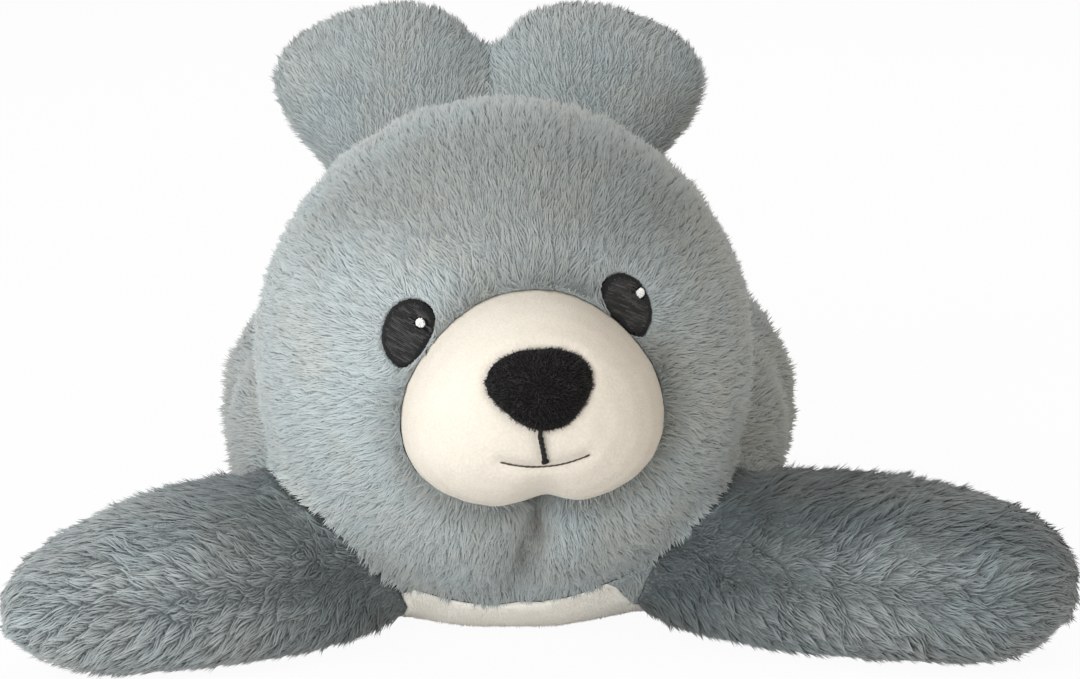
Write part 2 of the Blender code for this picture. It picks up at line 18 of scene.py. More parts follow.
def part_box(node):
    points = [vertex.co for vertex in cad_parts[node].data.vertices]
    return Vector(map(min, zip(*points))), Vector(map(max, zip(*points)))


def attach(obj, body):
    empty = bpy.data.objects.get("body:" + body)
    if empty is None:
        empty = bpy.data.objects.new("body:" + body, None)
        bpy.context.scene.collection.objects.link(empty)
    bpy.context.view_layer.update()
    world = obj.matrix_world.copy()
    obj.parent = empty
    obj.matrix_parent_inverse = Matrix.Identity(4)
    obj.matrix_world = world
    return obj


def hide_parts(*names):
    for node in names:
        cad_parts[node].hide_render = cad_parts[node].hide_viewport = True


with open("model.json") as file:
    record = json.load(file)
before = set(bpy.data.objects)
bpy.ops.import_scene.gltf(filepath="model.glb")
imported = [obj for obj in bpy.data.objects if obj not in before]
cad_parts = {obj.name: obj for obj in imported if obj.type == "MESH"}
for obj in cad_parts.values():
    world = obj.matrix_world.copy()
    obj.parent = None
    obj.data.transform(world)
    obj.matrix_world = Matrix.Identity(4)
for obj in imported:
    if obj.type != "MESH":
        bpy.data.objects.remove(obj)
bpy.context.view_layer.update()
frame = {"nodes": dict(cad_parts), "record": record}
NODES = frame["nodes"]
MM = 0.001

# %% [markdown]
# ## The camera
# The photograph looks slightly down on the face with a long lens, which keeps the head from
# bulging. The camera is placed by its distance, its tilt and small shifts from the centre of
# the head, which are a photographer's words and easy to adjust.

# %% Camera
HEAD_CENTRE = Vector((-0.0117, -0.0863, 0.085))
CAMERA_TILT = math.radians(12.0)
CAMERA_DISTANCE = 1.0
CAMERA_SHIFT = (0.0108, 0.00285)
LENS_MM = 111.11
SENSOR_MM = 36.0


def add_object(name, data):
    """Link a new object with this mesh, camera or lamp to the scene."""
    made = bpy.data.objects.new(name, data)
    bpy.context.scene.collection.objects.link(made)
    return made


def add_camera():
    """Set the camera in front of the face, looking down by its tilt."""
    data = bpy.data.cameras.new("photo_camera")
    data.lens = LENS_MM
    data.sensor_width = SENSOR_MM
    camera = add_object("photo_camera", data)
    ahead = Vector((0, math.cos(CAMERA_TILT), -math.sin(CAMERA_TILT)))
    up = Vector((0, math.sin(CAMERA_TILT), math.cos(CAMERA_TILT)))
    across = Vector((1, 0, 0))
    camera.location = HEAD_CENTRE - ahead * CAMERA_DISTANCE
    camera.location += across * CAMERA_SHIFT[0] + up * CAMERA_SHIFT[1]
    camera.rotation_euler = (math.pi / 2 - CAMERA_TILT, 0, 0)
    bpy.context.scene.camera = camera


add_camera()
bpy.context.scene.view_settings.view_transform = "Standard"

# %% [markdown]
# ## Floor and light
# The toy was photographed on white with one big soft lamp at the upper left. Five area lamps
# give the same soft sides, and the two at the left are the strongest. The floor shows the
# camera a plain white through Light Path, mixed with its own lit surface, so that the shadow
# under the toy stays and no lamp has to be turned up to make the ground white.

# %% Node helpers
class Value:
    """What a node gives out, which adds and multiplies like a number or a vector."""

    def __init__(self, tree, socket):
        self.tree = tree
        self.socket = socket
        self.is_vector = socket.type in ("VECTOR", "RGBA")

    def math(self, operation, *others, **settings):
        """One operation on numbers."""
        return value(self.tree, "ShaderNodeMath", dict(enumerate((self, *others))),
                     operation=operation, **settings)

    def vector(self, operation, inputs, output=0):
        """One operation on vectors."""
        return value(self.tree, "ShaderNodeVectorMath", {0: self, **inputs}, output,
                     operation=operation)

    def __add__(self, other):
        if self.is_vector:
            return self.vector("ADD", {1: other})
        return self.math("ADD", other)

    def __mul__(self, amount):
        if self.is_vector:
            return self.vector("SCALE", {"Scale": amount})
        return self.math("MULTIPLY", amount)

    def __truediv__(self, other):
        return self.math("DIVIDE", other)

    def __rtruediv__(self, above):
        return value(self.tree, "ShaderNodeMath", {0: above, 1: self}, operation="DIVIDE")


def feed(node, inputs):
    """Set or link the inputs of a node, by name or number."""
    for key, given in inputs.items():
        if isinstance(given, Value):
            given.tree.links.new(given.socket, node.inputs[key])
        else:
            node.inputs[key].default_value = given


def add_node(tree, kind, inputs=None, **settings):
    """Add a node, set its options, then its inputs."""
    node = tree.nodes.new(kind)
    for key, setting in settings.items():
        setattr(node, key, setting)
    feed(node, inputs or {})
    return node


def value(tree, kind, inputs=None, output=0, **settings):
    """Add a node and hand back one of its outputs."""
    return Value(tree, add_node(tree, kind, inputs, **settings).outputs[output])


def new_material(name):
    """Make a material with nodes and hand back its tree and its main shader."""
    material = bpy.data.materials.new(name)
    material.use_nodes = True
    tree = material.node_tree
    return material, tree, tree.nodes["Principled BSDF"]


# %% Floor, world and lamps
FLOOR_SIZE = 6.0
FLOOR_GREY = (0.86, 0.86, 0.86, 1)
FLOOR_WHITE_SHARE = 0.95
WORLD_GREY = (0.99, 0.98, 0.955, 1.0)
WORLD_STRENGTH = 0.49
WHITE = (1, 1, 1, 1)
SEEN_BY = ("Is Camera Ray", "Is Glossy Ray", "Is Transmission Ray")
LAMP_AIM = Vector((0, 0, 0.07))
LAMPS = [("key_lamp", (-1.15, -0.75, 0.75), 0.9, 11.1, (0.98, 1.0, 1.0)),
         ("front_lamp", (-0.55, -1.7, 0.12), 1.2, 24.0, (1.0, 1.0, 1.0)),
         ("side_lamp", (1.2, -0.6, 0.4), 0.9, 1.9, (1.0, 0.77, 0.50)),
         ("top_lamp", (0.1, -0.5, 1.4), 0.9, 2.6, (1.0, 0.99, 0.97)),
         ("back_lamp", (0.2, 1.3, 1.1), 1.0, 4.4, (1.0, 0.98, 0.95))]


def show_white(tree, lit, white, share):
    """Mix white into what the camera, a mirror or a clear body sees, and end the tree."""
    path = add_node(tree, "ShaderNodeLightPath")
    camera, mirror, clear = [Value(tree, path.outputs[ray]) for ray in SEEN_BY]
    seen = camera.math("MAXIMUM", mirror).math("MAXIMUM", clear)
    mix = value(tree, "ShaderNodeMixShader", {0: seen * share, 1: Value(tree, lit.outputs[0]), 2: white})
    end = [node for node in tree.nodes if node.type.startswith("OUTPUT")][0]
    feed(end, {"Surface": mix})


def object_from(made, name):
    """Turn a bmesh into an object."""
    mesh = bpy.data.meshes.new(name)
    made.to_mesh(mesh)
    made.free()
    return add_object(name, mesh)


def add_floor():
    """Lay a wide white floor that keeps the toy's shadow."""
    made = bmesh.new()
    bmesh.ops.create_grid(made, x_segments=1, y_segments=1, size=FLOOR_SIZE / 2)
    floor = object_from(made, "studio_floor")
    material, tree, shader = new_material("studio_white")
    feed(shader, {"Base Color": FLOOR_GREY, "Roughness": 1.0, "Specular IOR Level": 0.0})
    glow = value(tree, "ShaderNodeEmission", {"Color": WHITE, "Strength": 1.0})
    show_white(tree, shader, glow, FLOOR_WHITE_SHARE)
    floor.data.materials.append(material)


def add_world():
    """Fill the room with a soft light, and show the camera plain white."""
    world = bpy.data.worlds.new("studio_room")
    world.use_nodes = True
    tree = world.node_tree
    room = tree.nodes["Background"]
    feed(room, {"Color": WORLD_GREY, "Strength": WORLD_STRENGTH})
    white = value(tree, "ShaderNodeBackground", {"Color": WHITE, "Strength": 1.0})
    show_white(tree, room, white, 1.0)
    bpy.context.scene.world = world


def add_lamp(name, place, size, watts, colour):
    """Hang an area lamp that faces the toy."""
    data = bpy.data.lights.new(name, "AREA")
    data.shape = "DISK"
    data.size = size
    data.energy = watts
    data.color = colour
    lamp = add_object(name, data)
    lamp.location = place
    lamp.rotation_euler = (LAMP_AIM - Vector(place)).to_track_quat("-Z", "Y").to_euler()


add_floor()
add_world()
for lamp in LAMPS:
    add_lamp(*lamp)

# %% [markdown]
# ## The sewn skin
# Under its pile the seal is a bag of woven backing, sewn along the seams and blown up by
# fibre filling. One sheet goes round the whole animal, so it is made as one: a voxel remesh
# joins the solids, they are drawn in by the depth of the pile, and a cloth simulation with
# the seams pinned swells them, as stuffing does. Shrinking each solid by itself would open a
# gap between the head and the body.

# %% Copies of the solids
STUFFED = ["head", "body", "belly_panel", "front_flipper_left", "front_flipper_right",
           "rear_flipper_left", "rear_flipper_right"]
FACE_PARTS = ["muzzle", "eye_left", "eye_right"]
# the depth of the pile on each stuffed solid, in the same order
PILE_DEPTH = np.array([0.0011, 0.0013, 0.0004, 0.0019, 0.0019, 0.0011, 0.0011])
FLOOR_SHARE = 0.25
FLOOR_FADE = 0.016
MERGE_DISTANCE = 2e-6


def remove_object(item):
    """Delete an object and its mesh."""
    mesh = item.data
    bpy.data.objects.remove(item)
    bpy.data.meshes.remove(mesh)


def copy_of(nodes, name):
    """Copy solids into one mesh, with their loose triangles merged."""
    made = bmesh.new()
    for node in nodes:
        made.from_mesh(NODES[node].data)
    bmesh.ops.remove_doubles(made, verts=made.verts, dist=MERGE_DISTANCE)
    return object_from(made, name)


def bake_modifiers(item):
    """Turn an object's evaluated shape into its plain mesh."""
    graph = bpy.context.evaluated_depsgraph_get()
    mesh = bpy.data.meshes.new_from_object(item.evaluated_get(graph))
    old = item.data
    item.modifiers.clear()
    item.data = mesh
    mesh.name = item.name
    bpy.data.meshes.remove(old)


def voxel_remesh(item, grain):
    """Give a mesh even faces, and join its overlapping shells."""
    change = item.modifiers.new("even_faces", "REMESH")
    change.mode = "VOXEL"
    change.voxel_size = grain
    bake_modifiers(item)


def read_vectors(items, key):
    """Read a vector from each corner or face of a mesh."""
    flat = np.empty(len(items) * 3, np.float32)
    items.foreach_get(key, flat)
    return flat.reshape(-1, 3).astype(float)


def points_of(mesh):
    """Corners of a mesh as an array."""
    return read_vectors(mesh.vertices, "co")


def normals_of(mesh):
    """Vertex normals of a mesh as an array."""
    return read_vectors(mesh.vertex_normals, "vector")


def face_centres(mesh):
    """Centres of a mesh's faces as an array."""
    return read_vectors(mesh.polygons, "center")


def set_points(mesh, places):
    """Move the corners of a mesh."""
    mesh.vertices.foreach_set("co", np.asarray(places, np.float32).ravel())
    mesh.update()


# %% Which solid each place of the skin belongs to
trees = {}
for node, solid in NODES.items():
    corners = [vertex.co for vertex in solid.data.vertices]
    trees[node] = BVHTree.FromPolygons(corners, [tuple(face.vertices) for face in solid.data.polygons])


def distance_to(node, places):
    """Distance from places to a solid."""
    return np.array([trees[node].find_nearest(Vector(place))[3] for place in places])


def nearest_nodes(places, names):
    """For each place, the nearest solid and how much further away the next one is."""
    reach = np.stack([distance_to(name, places) for name in names], axis=1)
    order = np.sort(reach, axis=1)
    return reach.argmin(axis=1), order[:, 1] - order[:, 0]


def face_distance(places):
    """Distance from places to the muzzle and the eyes."""
    return np.min([distance_to(name, places) for name in FACE_PARTS], axis=0)


def smoothed(mesh, values, rounds):
    """Average values with those of the neighbouring corners."""
    edges = np.empty(len(mesh.edges) * 2, np.int32)
    mesh.edges.foreach_get("vertices", edges)
    first, second = edges.reshape(-1, 2).T
    count = np.ones(len(values))
    np.add.at(count, first, 1)
    np.add.at(count, second, 1)
    for _ in range(rounds):
        total = values.copy()
        np.add.at(total, first, values[second])
        np.add.at(total, second, values[first])
        values = (total.T / count).T
    return values


# %% Sew and stuff
SKIN_GRAIN = 0.0038
SEAM_REACH = 0.0035
FACE_REACH = 0.007
REST_HEIGHT = 0.004
STUFFING_START = 0.0008
STUFFING_PRESSURE = 4.0
STUFFING_FRAMES = 20
STUFFING_CAP = 0.0022
CHIN_TUCK_X = -0.0008
CHIN_TUCK_TOP = 0.056
CHIN_TUCK_LOW = 0.020
CHIN_TUCK_DRIFT = -0.0078
CHIN_TUCK_WIDTH = 0.0036
CHIN_TUCK_DEPTH = 0.0088
CHIN_TUCK_END = 1.15
CHIN_TUCK_FADE = 0.6
FACE_HALF_Y = HEAD_CENTRE.y - 0.02


def stuff(skin, seam):
    """Swell a skin by pressure with its seams pinned, and limit how far it may move."""
    before = points_of(skin.data)
    pins = skin.vertex_groups.new(name="seam")
    pins.add([int(k) for k in np.nonzero(seam)[0]], 1.0, "REPLACE")
    cloth = skin.modifiers.new("stuffing", "CLOTH")
    cloth.settings.quality = 4
    cloth.settings.use_pressure = True
    cloth.settings.uniform_pressure_force = STUFFING_PRESSURE
    cloth.settings.vertex_group_mass = "seam"
    cloth.settings.effector_weights.gravity = 0.0
    cloth.collision_settings.use_collision = False
    for step in range(1, STUFFING_FRAMES + 1):
        bpy.context.scene.frame_set(step)
    graph = bpy.context.evaluated_depsgraph_get()
    swollen = bpy.data.meshes.new_from_object(skin.evaluated_get(graph))
    move = points_of(swollen) - before
    bpy.data.meshes.remove(swollen)
    skin.modifiers.remove(cloth)
    bpy.context.scene.frame_set(1)
    length = np.linalg.norm(move, axis=1, keepdims=True)
    move *= np.minimum(1, STUFFING_CAP / np.maximum(length, 1e-9))
    set_points(skin.data, before + smoothed(skin.data, move, 2))


def chin_tuck(places, width):
    """How much places feel of the tuck under the chin, from 0 to 1, and how far aside they are."""
    down = (CHIN_TUCK_TOP - places[:, 2]) / (CHIN_TUCK_TOP - CHIN_TUCK_LOW)
    aside = (places[:, 0] - CHIN_TUCK_X - CHIN_TUCK_DRIFT * down ** 2) / width
    level = (down > 0) & (places[:, 1] < FACE_HALF_Y)
    fade = np.clip((CHIN_TUCK_END - down) / CHIN_TUCK_FADE, 0, 1)
    return np.exp(-aside * aside) * level * fade, np.tanh(aside)


def sew_skin():
    """Make the one skin that goes round the whole animal under its pile."""
    skin = copy_of(STUFFED + FACE_PARTS, "sewn_skin")
    voxel_remesh(skin, SKIN_GRAIN)
    places = points_of(skin.data)
    owner, _ = nearest_nodes(places, STUFFED)
    depth = PILE_DEPTH[owner]
    above = np.clip(places[:, 2] / FLOOR_FADE, 0, 1)
    depth *= FLOOR_SHARE + (1 - FLOOR_SHARE) * above
    depth += STUFFING_START * (face_distance(places) > FACE_REACH)
    depth = smoothed(skin.data, depth, 3)
    set_points(skin.data, places - normals_of(skin.data) * depth[:, None])
    voxel_remesh(skin, SKIN_GRAIN)
    places = points_of(skin.data)
    _, margin = nearest_nodes(places, STUFFED)
    seam = (margin < SEAM_REACH) | (places[:, 2] < REST_HEIGHT) | (face_distance(places) < FACE_REACH)
    stuff(skin, seam)
    places = points_of(skin.data)
    tuck, _ = chin_tuck(places, CHIN_TUCK_WIDTH)
    set_points(skin.data, places - normals_of(skin.data) * tuck[:, None] * CHIN_TUCK_DEPTH)
    print("skin:", len(skin.data.vertices), "corners,", int(seam.sum()), "of them on seams")
    return skin


sewn_skin = sew_skin()

# %% [markdown]
# ## Cutting the skin into its pieces
# A real seal is sewn from separate panels, and each solid of the model stands for one of them.
# Intersecting the stuffed skin with a solid gives that panel its own closed piece, with clean
# faces where it meets its neighbours. Faces that lie against a neighbour carry no pile, so each
# face remembers whether it is in the open.

# %% One skin for each solid
SEAM_ALLOWANCE = 0.0010
POCKET_ALLOWANCE = 0.0003
TURNED_AWAY = 0.3


def write_attribute(mesh, name, values, domain="POINT"):
    """Store vectors, yes or no, or numbers on a mesh as a named attribute."""
    values = np.asarray(values)
    many = values.ndim > 1
    kind = "FLOAT_VECTOR" if many else "BOOLEAN" if values.dtype == bool else "FLOAT"
    made = mesh.attributes.new(name, kind, domain)
    made.data.foreach_set("vector" if many else "value", values.ravel())


skin_places = points_of(sewn_skin.data)
skin_normals = smoothed(sewn_skin.data, normals_of(sewn_skin.data), 2)
skin_corners = kdtree.KDTree(len(skin_places))
for number, place in enumerate(skin_places):
    skin_corners.insert(place, number)
skin_corners.balance()


def unit(vectors):
    """Scale vectors to length one."""
    return vectors / np.maximum(np.linalg.norm(vectors, axis=1, keepdims=True), 1e-9)


def outward(places):
    """Smooth outward directions of the skin near some places."""
    return unit(np.array([skin_normals[skin_corners.find(Vector(place))[1]] for place in places]))


def in_the_open(node, places):
    """Whether places on a solid lie clear of every other solid it is sewn to."""
    others = [name for name in STUFFED if name != node]
    near = np.min([distance_to(name, places) for name in others], axis=0)
    return (near > SEAM_ALLOWANCE) & (face_distance(places) > POCKET_ALLOWANCE)


def skin_of(node):
    """Cut out the panel of the sewn skin that lies in one solid."""
    piece = copy_of([node], node + "_skin")
    cut = piece.modifiers.new("inside_skin", "BOOLEAN")
    cut.operation = "INTERSECT"
    cut.solver = "MANIFOLD"
    cut.object = sewn_skin
    bake_modifiers(piece)
    mesh = piece.data
    shown = in_the_open(node, face_centres(mesh))
    out = outward(points_of(mesh))
    own = normals_of(mesh)
    turned_away = (out * own).sum(axis=1) < TURNED_AWAY
    out[turned_away] = own[turned_away]
    write_attribute(mesh, "grows", shown, "FACE")
    write_attribute(mesh, "out", out)
    mesh.shade_smooth()
    print(piece.name, len(mesh.polygons), "faces,", sum(shown), "of them carry pile")
    return piece


skins = {node: skin_of(node) for node in STUFFED}
remove_object(sewn_skin)

# %% [markdown]
# ## Which way the pile lies
# Plush pile has a lie, and it makes a face readable: on the head it radiates from the muzzle,
# on the flippers it runs to the tips and parts along a crease, and on the body it runs to the
# tail. A direction at each corner of the skin is enough, because Geometry Nodes blend it
# between corners. The length of the pile and a painted shade are stored the same way: the
# shade colours the pile darker and browner where shadow falls, in the tuck of the chin, round
# the muzzle, on the crown and over the body, and on the flippers near the head, on their tops
# and more on the left one.

# %% Combing
MUZZLE_ROOT = Vector((-0.0037, -0.155, 0.085))
PARTING_HEIGHT = 0.024
DARKEST = 1.5
SIDE = {"left": 1, "right": -1}
MUZZLE_EDGE = (0.001, 0.012)
MUZZLE_SEAM = (0.0005, 0.003)
MUZZLE_SHADE = (0.0005, 0.0095)
EYE_EDGE = (0.001, 0.006)
CROWN_HEIGHT = (0.112, 0.135)
CROWN_DEPTH = (-0.12, -0.09)
ON_FLOOR = (0.004, 0.014)
FLIPPER_ROOT = (0.004, 0.055)
FLIPPER_TOP = (0.1, 0.8)
HEAD_LEAN = 63.0
BODY_LEAN = 60.0
BELLY_LEAN = 76.0
FLIPPER_LEAN = 68.0
TAIL_LEAN = 55.0
# painted shade all over the body, whose sides lie in shadow between the head and the flippers
BODY_SHADE = 0.5
LIE_SHIFT = np.array((0, 0.03, 0))
EYE_TURN = 1.3
TUCK_TURN = 2.0
PARTING_SPLIT = 0.008
PARTING_CREASE = 0.004


def along_skin(vectors, out):
    """Lay vectors flat on the skin."""
    return unit(vectors - (vectors * out).sum(axis=1, keepdims=True) * out)


def step_between(values, low, high):
    """Rise smoothly from 0 at low to 1 at high."""
    share = np.clip((values - low) / (high - low), 0, 1)
    return share * share * (3 - 2 * share)


def comb_head(places, out):
    """Radiate from the muzzle, stand up at its edge, and stay short around the eyes."""
    lie = along_skin(places - np.array(MUZZLE_ROOT) + LIE_SHIFT, out)
    edge = distance_to("muzzle", places)
    near_muzzle = 1 - step_between(edge, *MUZZLE_EDGE)
    crown = step_between(places[:, 2], *CROWN_HEIGHT) * (1 - step_between(places[:, 1], *CROWN_DEPTH))
    near_eye = np.zeros(len(places))
    for word in SIDE:
        low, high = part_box("eye_" + word)
        near = 1 - step_between(distance_to("eye_" + word, places), *EYE_EDGE)
        away = along_skin(places - np.array((low + high) / 2), out)
        lie = along_skin(lie + away * near[:, None] * EYE_TURN, out)
        near_eye = np.maximum(near_eye, near)
    parted, aside = chin_tuck(places, CHIN_TUCK_WIDTH * 2)
    inside, _ = chin_tuck(places, CHIN_TUCK_WIDTH * 0.8)
    away = np.stack([aside, np.zeros(len(places)), np.full(len(places), -0.5)], axis=1)
    lie = along_skin(lie + away * parted[:, None] * TUCK_TURN, out)
    seam = 1 - step_between(edge, *MUZZLE_SEAM)
    lean = HEAD_LEAN - (35 * near_muzzle + 48 * seam) * (1 - near_eye) - 14 * crown
    pile = 1 + 0.15 * near_muzzle - 0.35 * near_eye - 0.15 * crown - 0.45 * inside
    # painted shade: the pile is coloured darker round the muzzle, in the tuck of the chin and on the
    # crown, where shadow falls
    shade = 0.7 * (1 - step_between(edge, *MUZZLE_SHADE)) + 1.5 * inside + 0.75 * crown
    return lie, lean, pile, shade


def comb_body(places, out):
    """Run to the tail and a little down the sides."""
    return along_skin(np.tile((0.0, 1.0, -0.25), (len(places), 1)), out), BODY_LEAN, 1.0, BODY_SHADE


def comb_belly(places, out):
    """Run to the tail, short and flat."""
    return along_skin(np.tile((0.0, 1.0, 0.0), (len(places), 1)), out), BELLY_LEAN, 1.0, 0.0


def comb_front_flipper(side):
    """Run to the tip, up above the parting and down below it."""
    def comb(places, out):
        above = places[:, 2] - PARTING_HEIGHT
        split = np.tanh(above / PARTING_SPLIT)
        run = np.array((side * 0.9, -0.36, 0.0)) + split[:, None] * np.array((0, 0, 0.55))
        lie = along_skin(run, out)
        on_floor = 1 - step_between(places[:, 2], *ON_FLOOR)
        # painted shade: darker near the head, in the crease, on the tops, and more on the left flipper,
        # which the head keeps from the key lamp
        root = 1 - step_between(distance_to("head", places), *FLIPPER_ROOT)
        crease = np.exp(-(above / PARTING_CREASE) ** 2)
        top = (0.4 + 0.15 * side) * step_between(out[:, 2], *FLIPPER_TOP)
        shade = root + 0.4 * crease + top + 0.06 + 0.27 * (1 + side)
        return lie, FLIPPER_LEAN + 2 * on_floor, 1 - 0.2 * on_floor - 0.25 * crease, shade
    return comb


def comb_rear_flipper(side):
    """Run up and out from the tail to the round edge."""
    def comb(places, out):
        low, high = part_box("rear_flipper_" + ("left" if side > 0 else "right"))
        middle = (low.x + high.x) / 2
        across = (places[:, 0] - middle) / ((high.x - low.x) / 2)
        level = np.ones(len(places))
        run = np.stack([across * 0.8 + side * 0.15, 0 * level, level], axis=1)
        return along_skin(run, out), TAIL_LEAN, 1.0, 0.0
    return comb


COMBS = {"head": comb_head, "body": comb_body, "belly_panel": comb_belly}
for word, side in SIDE.items():
    COMBS["front_flipper_" + word] = comb_front_flipper(side)
    COMBS["rear_flipper_" + word] = comb_rear_flipper(side)


def store_comb(mesh, out, lie, lean, pile, shade):
    """Store the direction and length of the pile and its painted shade, with its lean in degrees."""
    level = np.ones(len(out))
    lean = np.radians(lean * level)[:, None]
    write_attribute(mesh, "comb", out * np.cos(lean) + lie * np.sin(lean))
    write_attribute(mesh, "pile", pile * level)
    write_attribute(mesh, "shade", np.clip(shade * level, 0, DARKEST))


for node in STUFFED:
    places = points_of(skins[node].data)
    out = outward(places)
    store_comb(skins[node].data, out, *COMBS[node](places, out))

# %% [markdown]
# ## One lock
# Seen close, plush is a crowd of little locks: a few fibres that stick together, wide at the
# root and pointed at the tip. Each lock is one closed straight spike with three sides. Four
# triangles are enough for it, which leaves room for very many of them. The fuzz of the short
# naps has the same shape, only stouter.

# %% Locks
LOCK_RING = [(0.0, -0.5), (0.5, 0.0), (0.0, 0.5)]
FINE_WIDTH = 0.125
FUZZ_WIDTH = 0.26


def start_strand():
    """A bmesh with a texture layer and the attribute strand: the place across and along a lock."""
    made = bmesh.new()
    flat = made.loops.layers.uv.new("OFBake")
    return made, flat, made.verts.layers.float_vector.new("strand")


def lay_out(face, strand, flat):
    """Give a face of a lock its own strip of the texture, or a corner of it if it is the root."""
    heights = [loop.vert[strand].y for loop in face.loops]
    if max(heights) == 0:
        for number, loop in enumerate(face.loops):
            loop[flat].uv = (0.04 + 0.1 * (number % 2), 0.05 + 0.1 * number)
        return
    side = int(math.atan2(face.normal.y, face.normal.x) % math.tau / math.tau * 3) % 3
    for loop in face.loops:
        across = loop.vert[strand].x if side != 1 else 1 - loop.vert[strand].x
        loop[flat].uv = (0.2 + 0.26 * side + 0.22 * across, 0.04 + 0.92 * loop.vert[strand].y)


def lock_mesh(name, width):
    """A closed three-sided spike along +Z, one unit long."""
    made, flat, strand = start_strand()
    root = []
    for k, (x, y) in enumerate(LOCK_RING):
        root.append(made.verts.new((x * width, y * width, 0)))
        root[-1][strand] = Vector((k / 2, 0, 0))
    tip = made.verts.new((0, 0, 1))
    tip[strand] = Vector((0.5, 1, 0))
    made.faces.new(root)
    for k in range(3):
        made.faces.new((root[k], root[(k + 1) % 3], tip))
    bmesh.ops.recalc_face_normals(made, faces=made.faces)
    for face in made.faces:
        lay_out(face, strand, flat)
    return object_from(made, name)


fine_lock = lock_mesh("fine_lock", FINE_WIDTH)
fuzz = lock_mesh("fuzz", FUZZ_WIDTH)

# %% [markdown]
# ## Growing the pile with Geometry Nodes
# A particle system would be lost when the model is saved for other programs, and placing a
# hundred thousand locks in Python would be slow. Geometry Nodes scatter points on the skin
# with a least distance, turn a lock along the combed direction at each, and vary it by noise.
# A second, wider scatter gives the middles of tufts, and each lock leans to the nearest one,
# so that dark slits open between them, as in real pile after handling; the locks in the slits
# are also shorter and painted darker, as painted shade. The tree ends in plain mesh.

# %% The tree
PILE_INPUTS = {"Skin": "Geometry", "Lock": "Object", "Keep Out": "Object", "Clearance": "Float",
               "Spacing": "Float", "Length": "Float", "Thickness": "Float", "Ruffle": "Float",
               "Clump Size": "Float", "Tuft Size": "Float", "Tuft": "Float", "Stray": "Float",
               "Cells": "Float", "Seed": "Int", "Material": "Material"}
DENSITY_LIMIT = 9e6
TUFT_SLIT = 1.2
SWIRLS = 0.45
WAVES = 3.6
WAVE_LOW = 0.34
WAVE_HIGH = 0.62
SHORTEST = 0.75
CREST_GAIN = 0.40
LENGTH_RANGE = (0.85, 1.15)
WIDTH_RANGE = (0.7, 1.25)


def new_tree(name, kinds):
    """Start a node tree with these inputs, and hand it back with what they give."""
    tree = bpy.data.node_groups.new(name, "GeometryNodeTree")
    for label, kind in kinds.items():
        tree.interface.new_socket(label, in_out="INPUT", socket_type="NodeSocket" + kind)
    tree.interface.new_socket("Made", in_out="OUTPUT", socket_type="NodeSocketGeometry")
    outputs = tree.nodes.new("NodeGroupInput").outputs
    return tree, {socket.name: Value(tree, socket) for socket in outputs}


def named(tree, name, kind="FLOAT_VECTOR"):
    """Read a named attribute."""
    return value(tree, "GeometryNodeInputNamedAttribute", {"Name": name}, "Attribute", data_type=kind)


def stored(geometry, name, amount, kind="FLOAT", domain="INSTANCE"):
    """A geometry with one more named attribute."""
    return value(geometry.tree, "GeometryNodeStoreNamedAttribute",
                 {"Geometry": geometry, "Name": name, "Value": amount}, data_type=kind, domain=domain)


def random_number(seed, low, high):
    """A random number for each point."""
    return value(seed.tree, "FunctionNodeRandomValue", {"Seed": seed, 2: low, 3: high}, 1,
                 data_type="FLOAT")


def placed(points, thing, way, wide, reach):
    """A copy of an object at each point, which runs along a way and is this wide and long."""
    tree = points.tree
    shape = value(tree, "GeometryNodeObjectInfo", {"Object": thing}, "Geometry",
                  transform_space="ORIGINAL")
    upright = value(tree, "FunctionNodeAlignRotationToVector", {"Vector": way}, axis="Z")
    turned = value(tree, "FunctionNodeAlignRotationToVector",
                   {"Rotation": upright, "Vector": named(tree, "out")}, axis="X", pivot_axis="Z")
    size = value(tree, "ShaderNodeCombineXYZ", {0: wide, 1: wide, 2: reach})
    return value(tree, "GeometryNodeInstanceOnPoints",
                 {"Points": points, "Instance": shape, "Rotation": turned, "Scale": size})


def finish_pile(instances, given, crest=1.0):
    """Number and tint the instances, lay out their texture and end the tree as plain mesh."""
    tree = instances.tree
    instances = stored(instances, "crest", crest)
    instances = stored(instances, "tint", random_number(given["Seed"] + 3.0, 0.0, 1.0))
    instances = stored(instances, "cell", value(tree, "GeometryNodeInputIndex"))
    plain = value(tree, "GeometryNodeRealizeInstances", {0: instances})
    number = named(tree, "cell", "FLOAT")
    column = number.math("MODULO", given["Cells"])
    row = (number / given["Cells"]).math("FLOOR")
    corner = value(tree, "ShaderNodeCombineXYZ", {0: column, 1: row})
    spot = (corner + named(tree, "OFBake")) * (1.0 / given["Cells"])
    laid_out = stored(plain, "OFBake", spot, "FLOAT2", "CORNER")
    painted = value(tree, "GeometryNodeSetMaterial",
                    {"Geometry": laid_out, "Material": given["Material"]})
    add_node(tree, "NodeGroupOutput", {0: painted})


def scattered(given, spacing, inputs):
    """Points on the skin with a least distance between them."""
    return value(given["Skin"].tree, "GeometryNodeDistributePointsOnFaces",
                 {"Mesh": given["Skin"], "Distance Min": given[spacing],
                  "Density Max": DENSITY_LIMIT, "Seed": given["Seed"], **inputs},
                 "Points", distribute_method="POISSON")


def to_tuft(tree, given):
    """The way from each lock to the middle of the tuft it belongs to."""
    middles = scattered(given, "Tuft Size", {})
    nearest = value(tree, "GeometryNodeSampleNearest", {"Geometry": middles}, domain="POINT")
    here = value(tree, "GeometryNodeInputPosition")
    middle = value(tree, "GeometryNodeSampleIndex",
                   {"Geometry": middles, "Index": nearest, "Value": here},
                   data_type="FLOAT_VECTOR", domain="POINT")
    return middle.vector("SUBTRACT", {1: here})


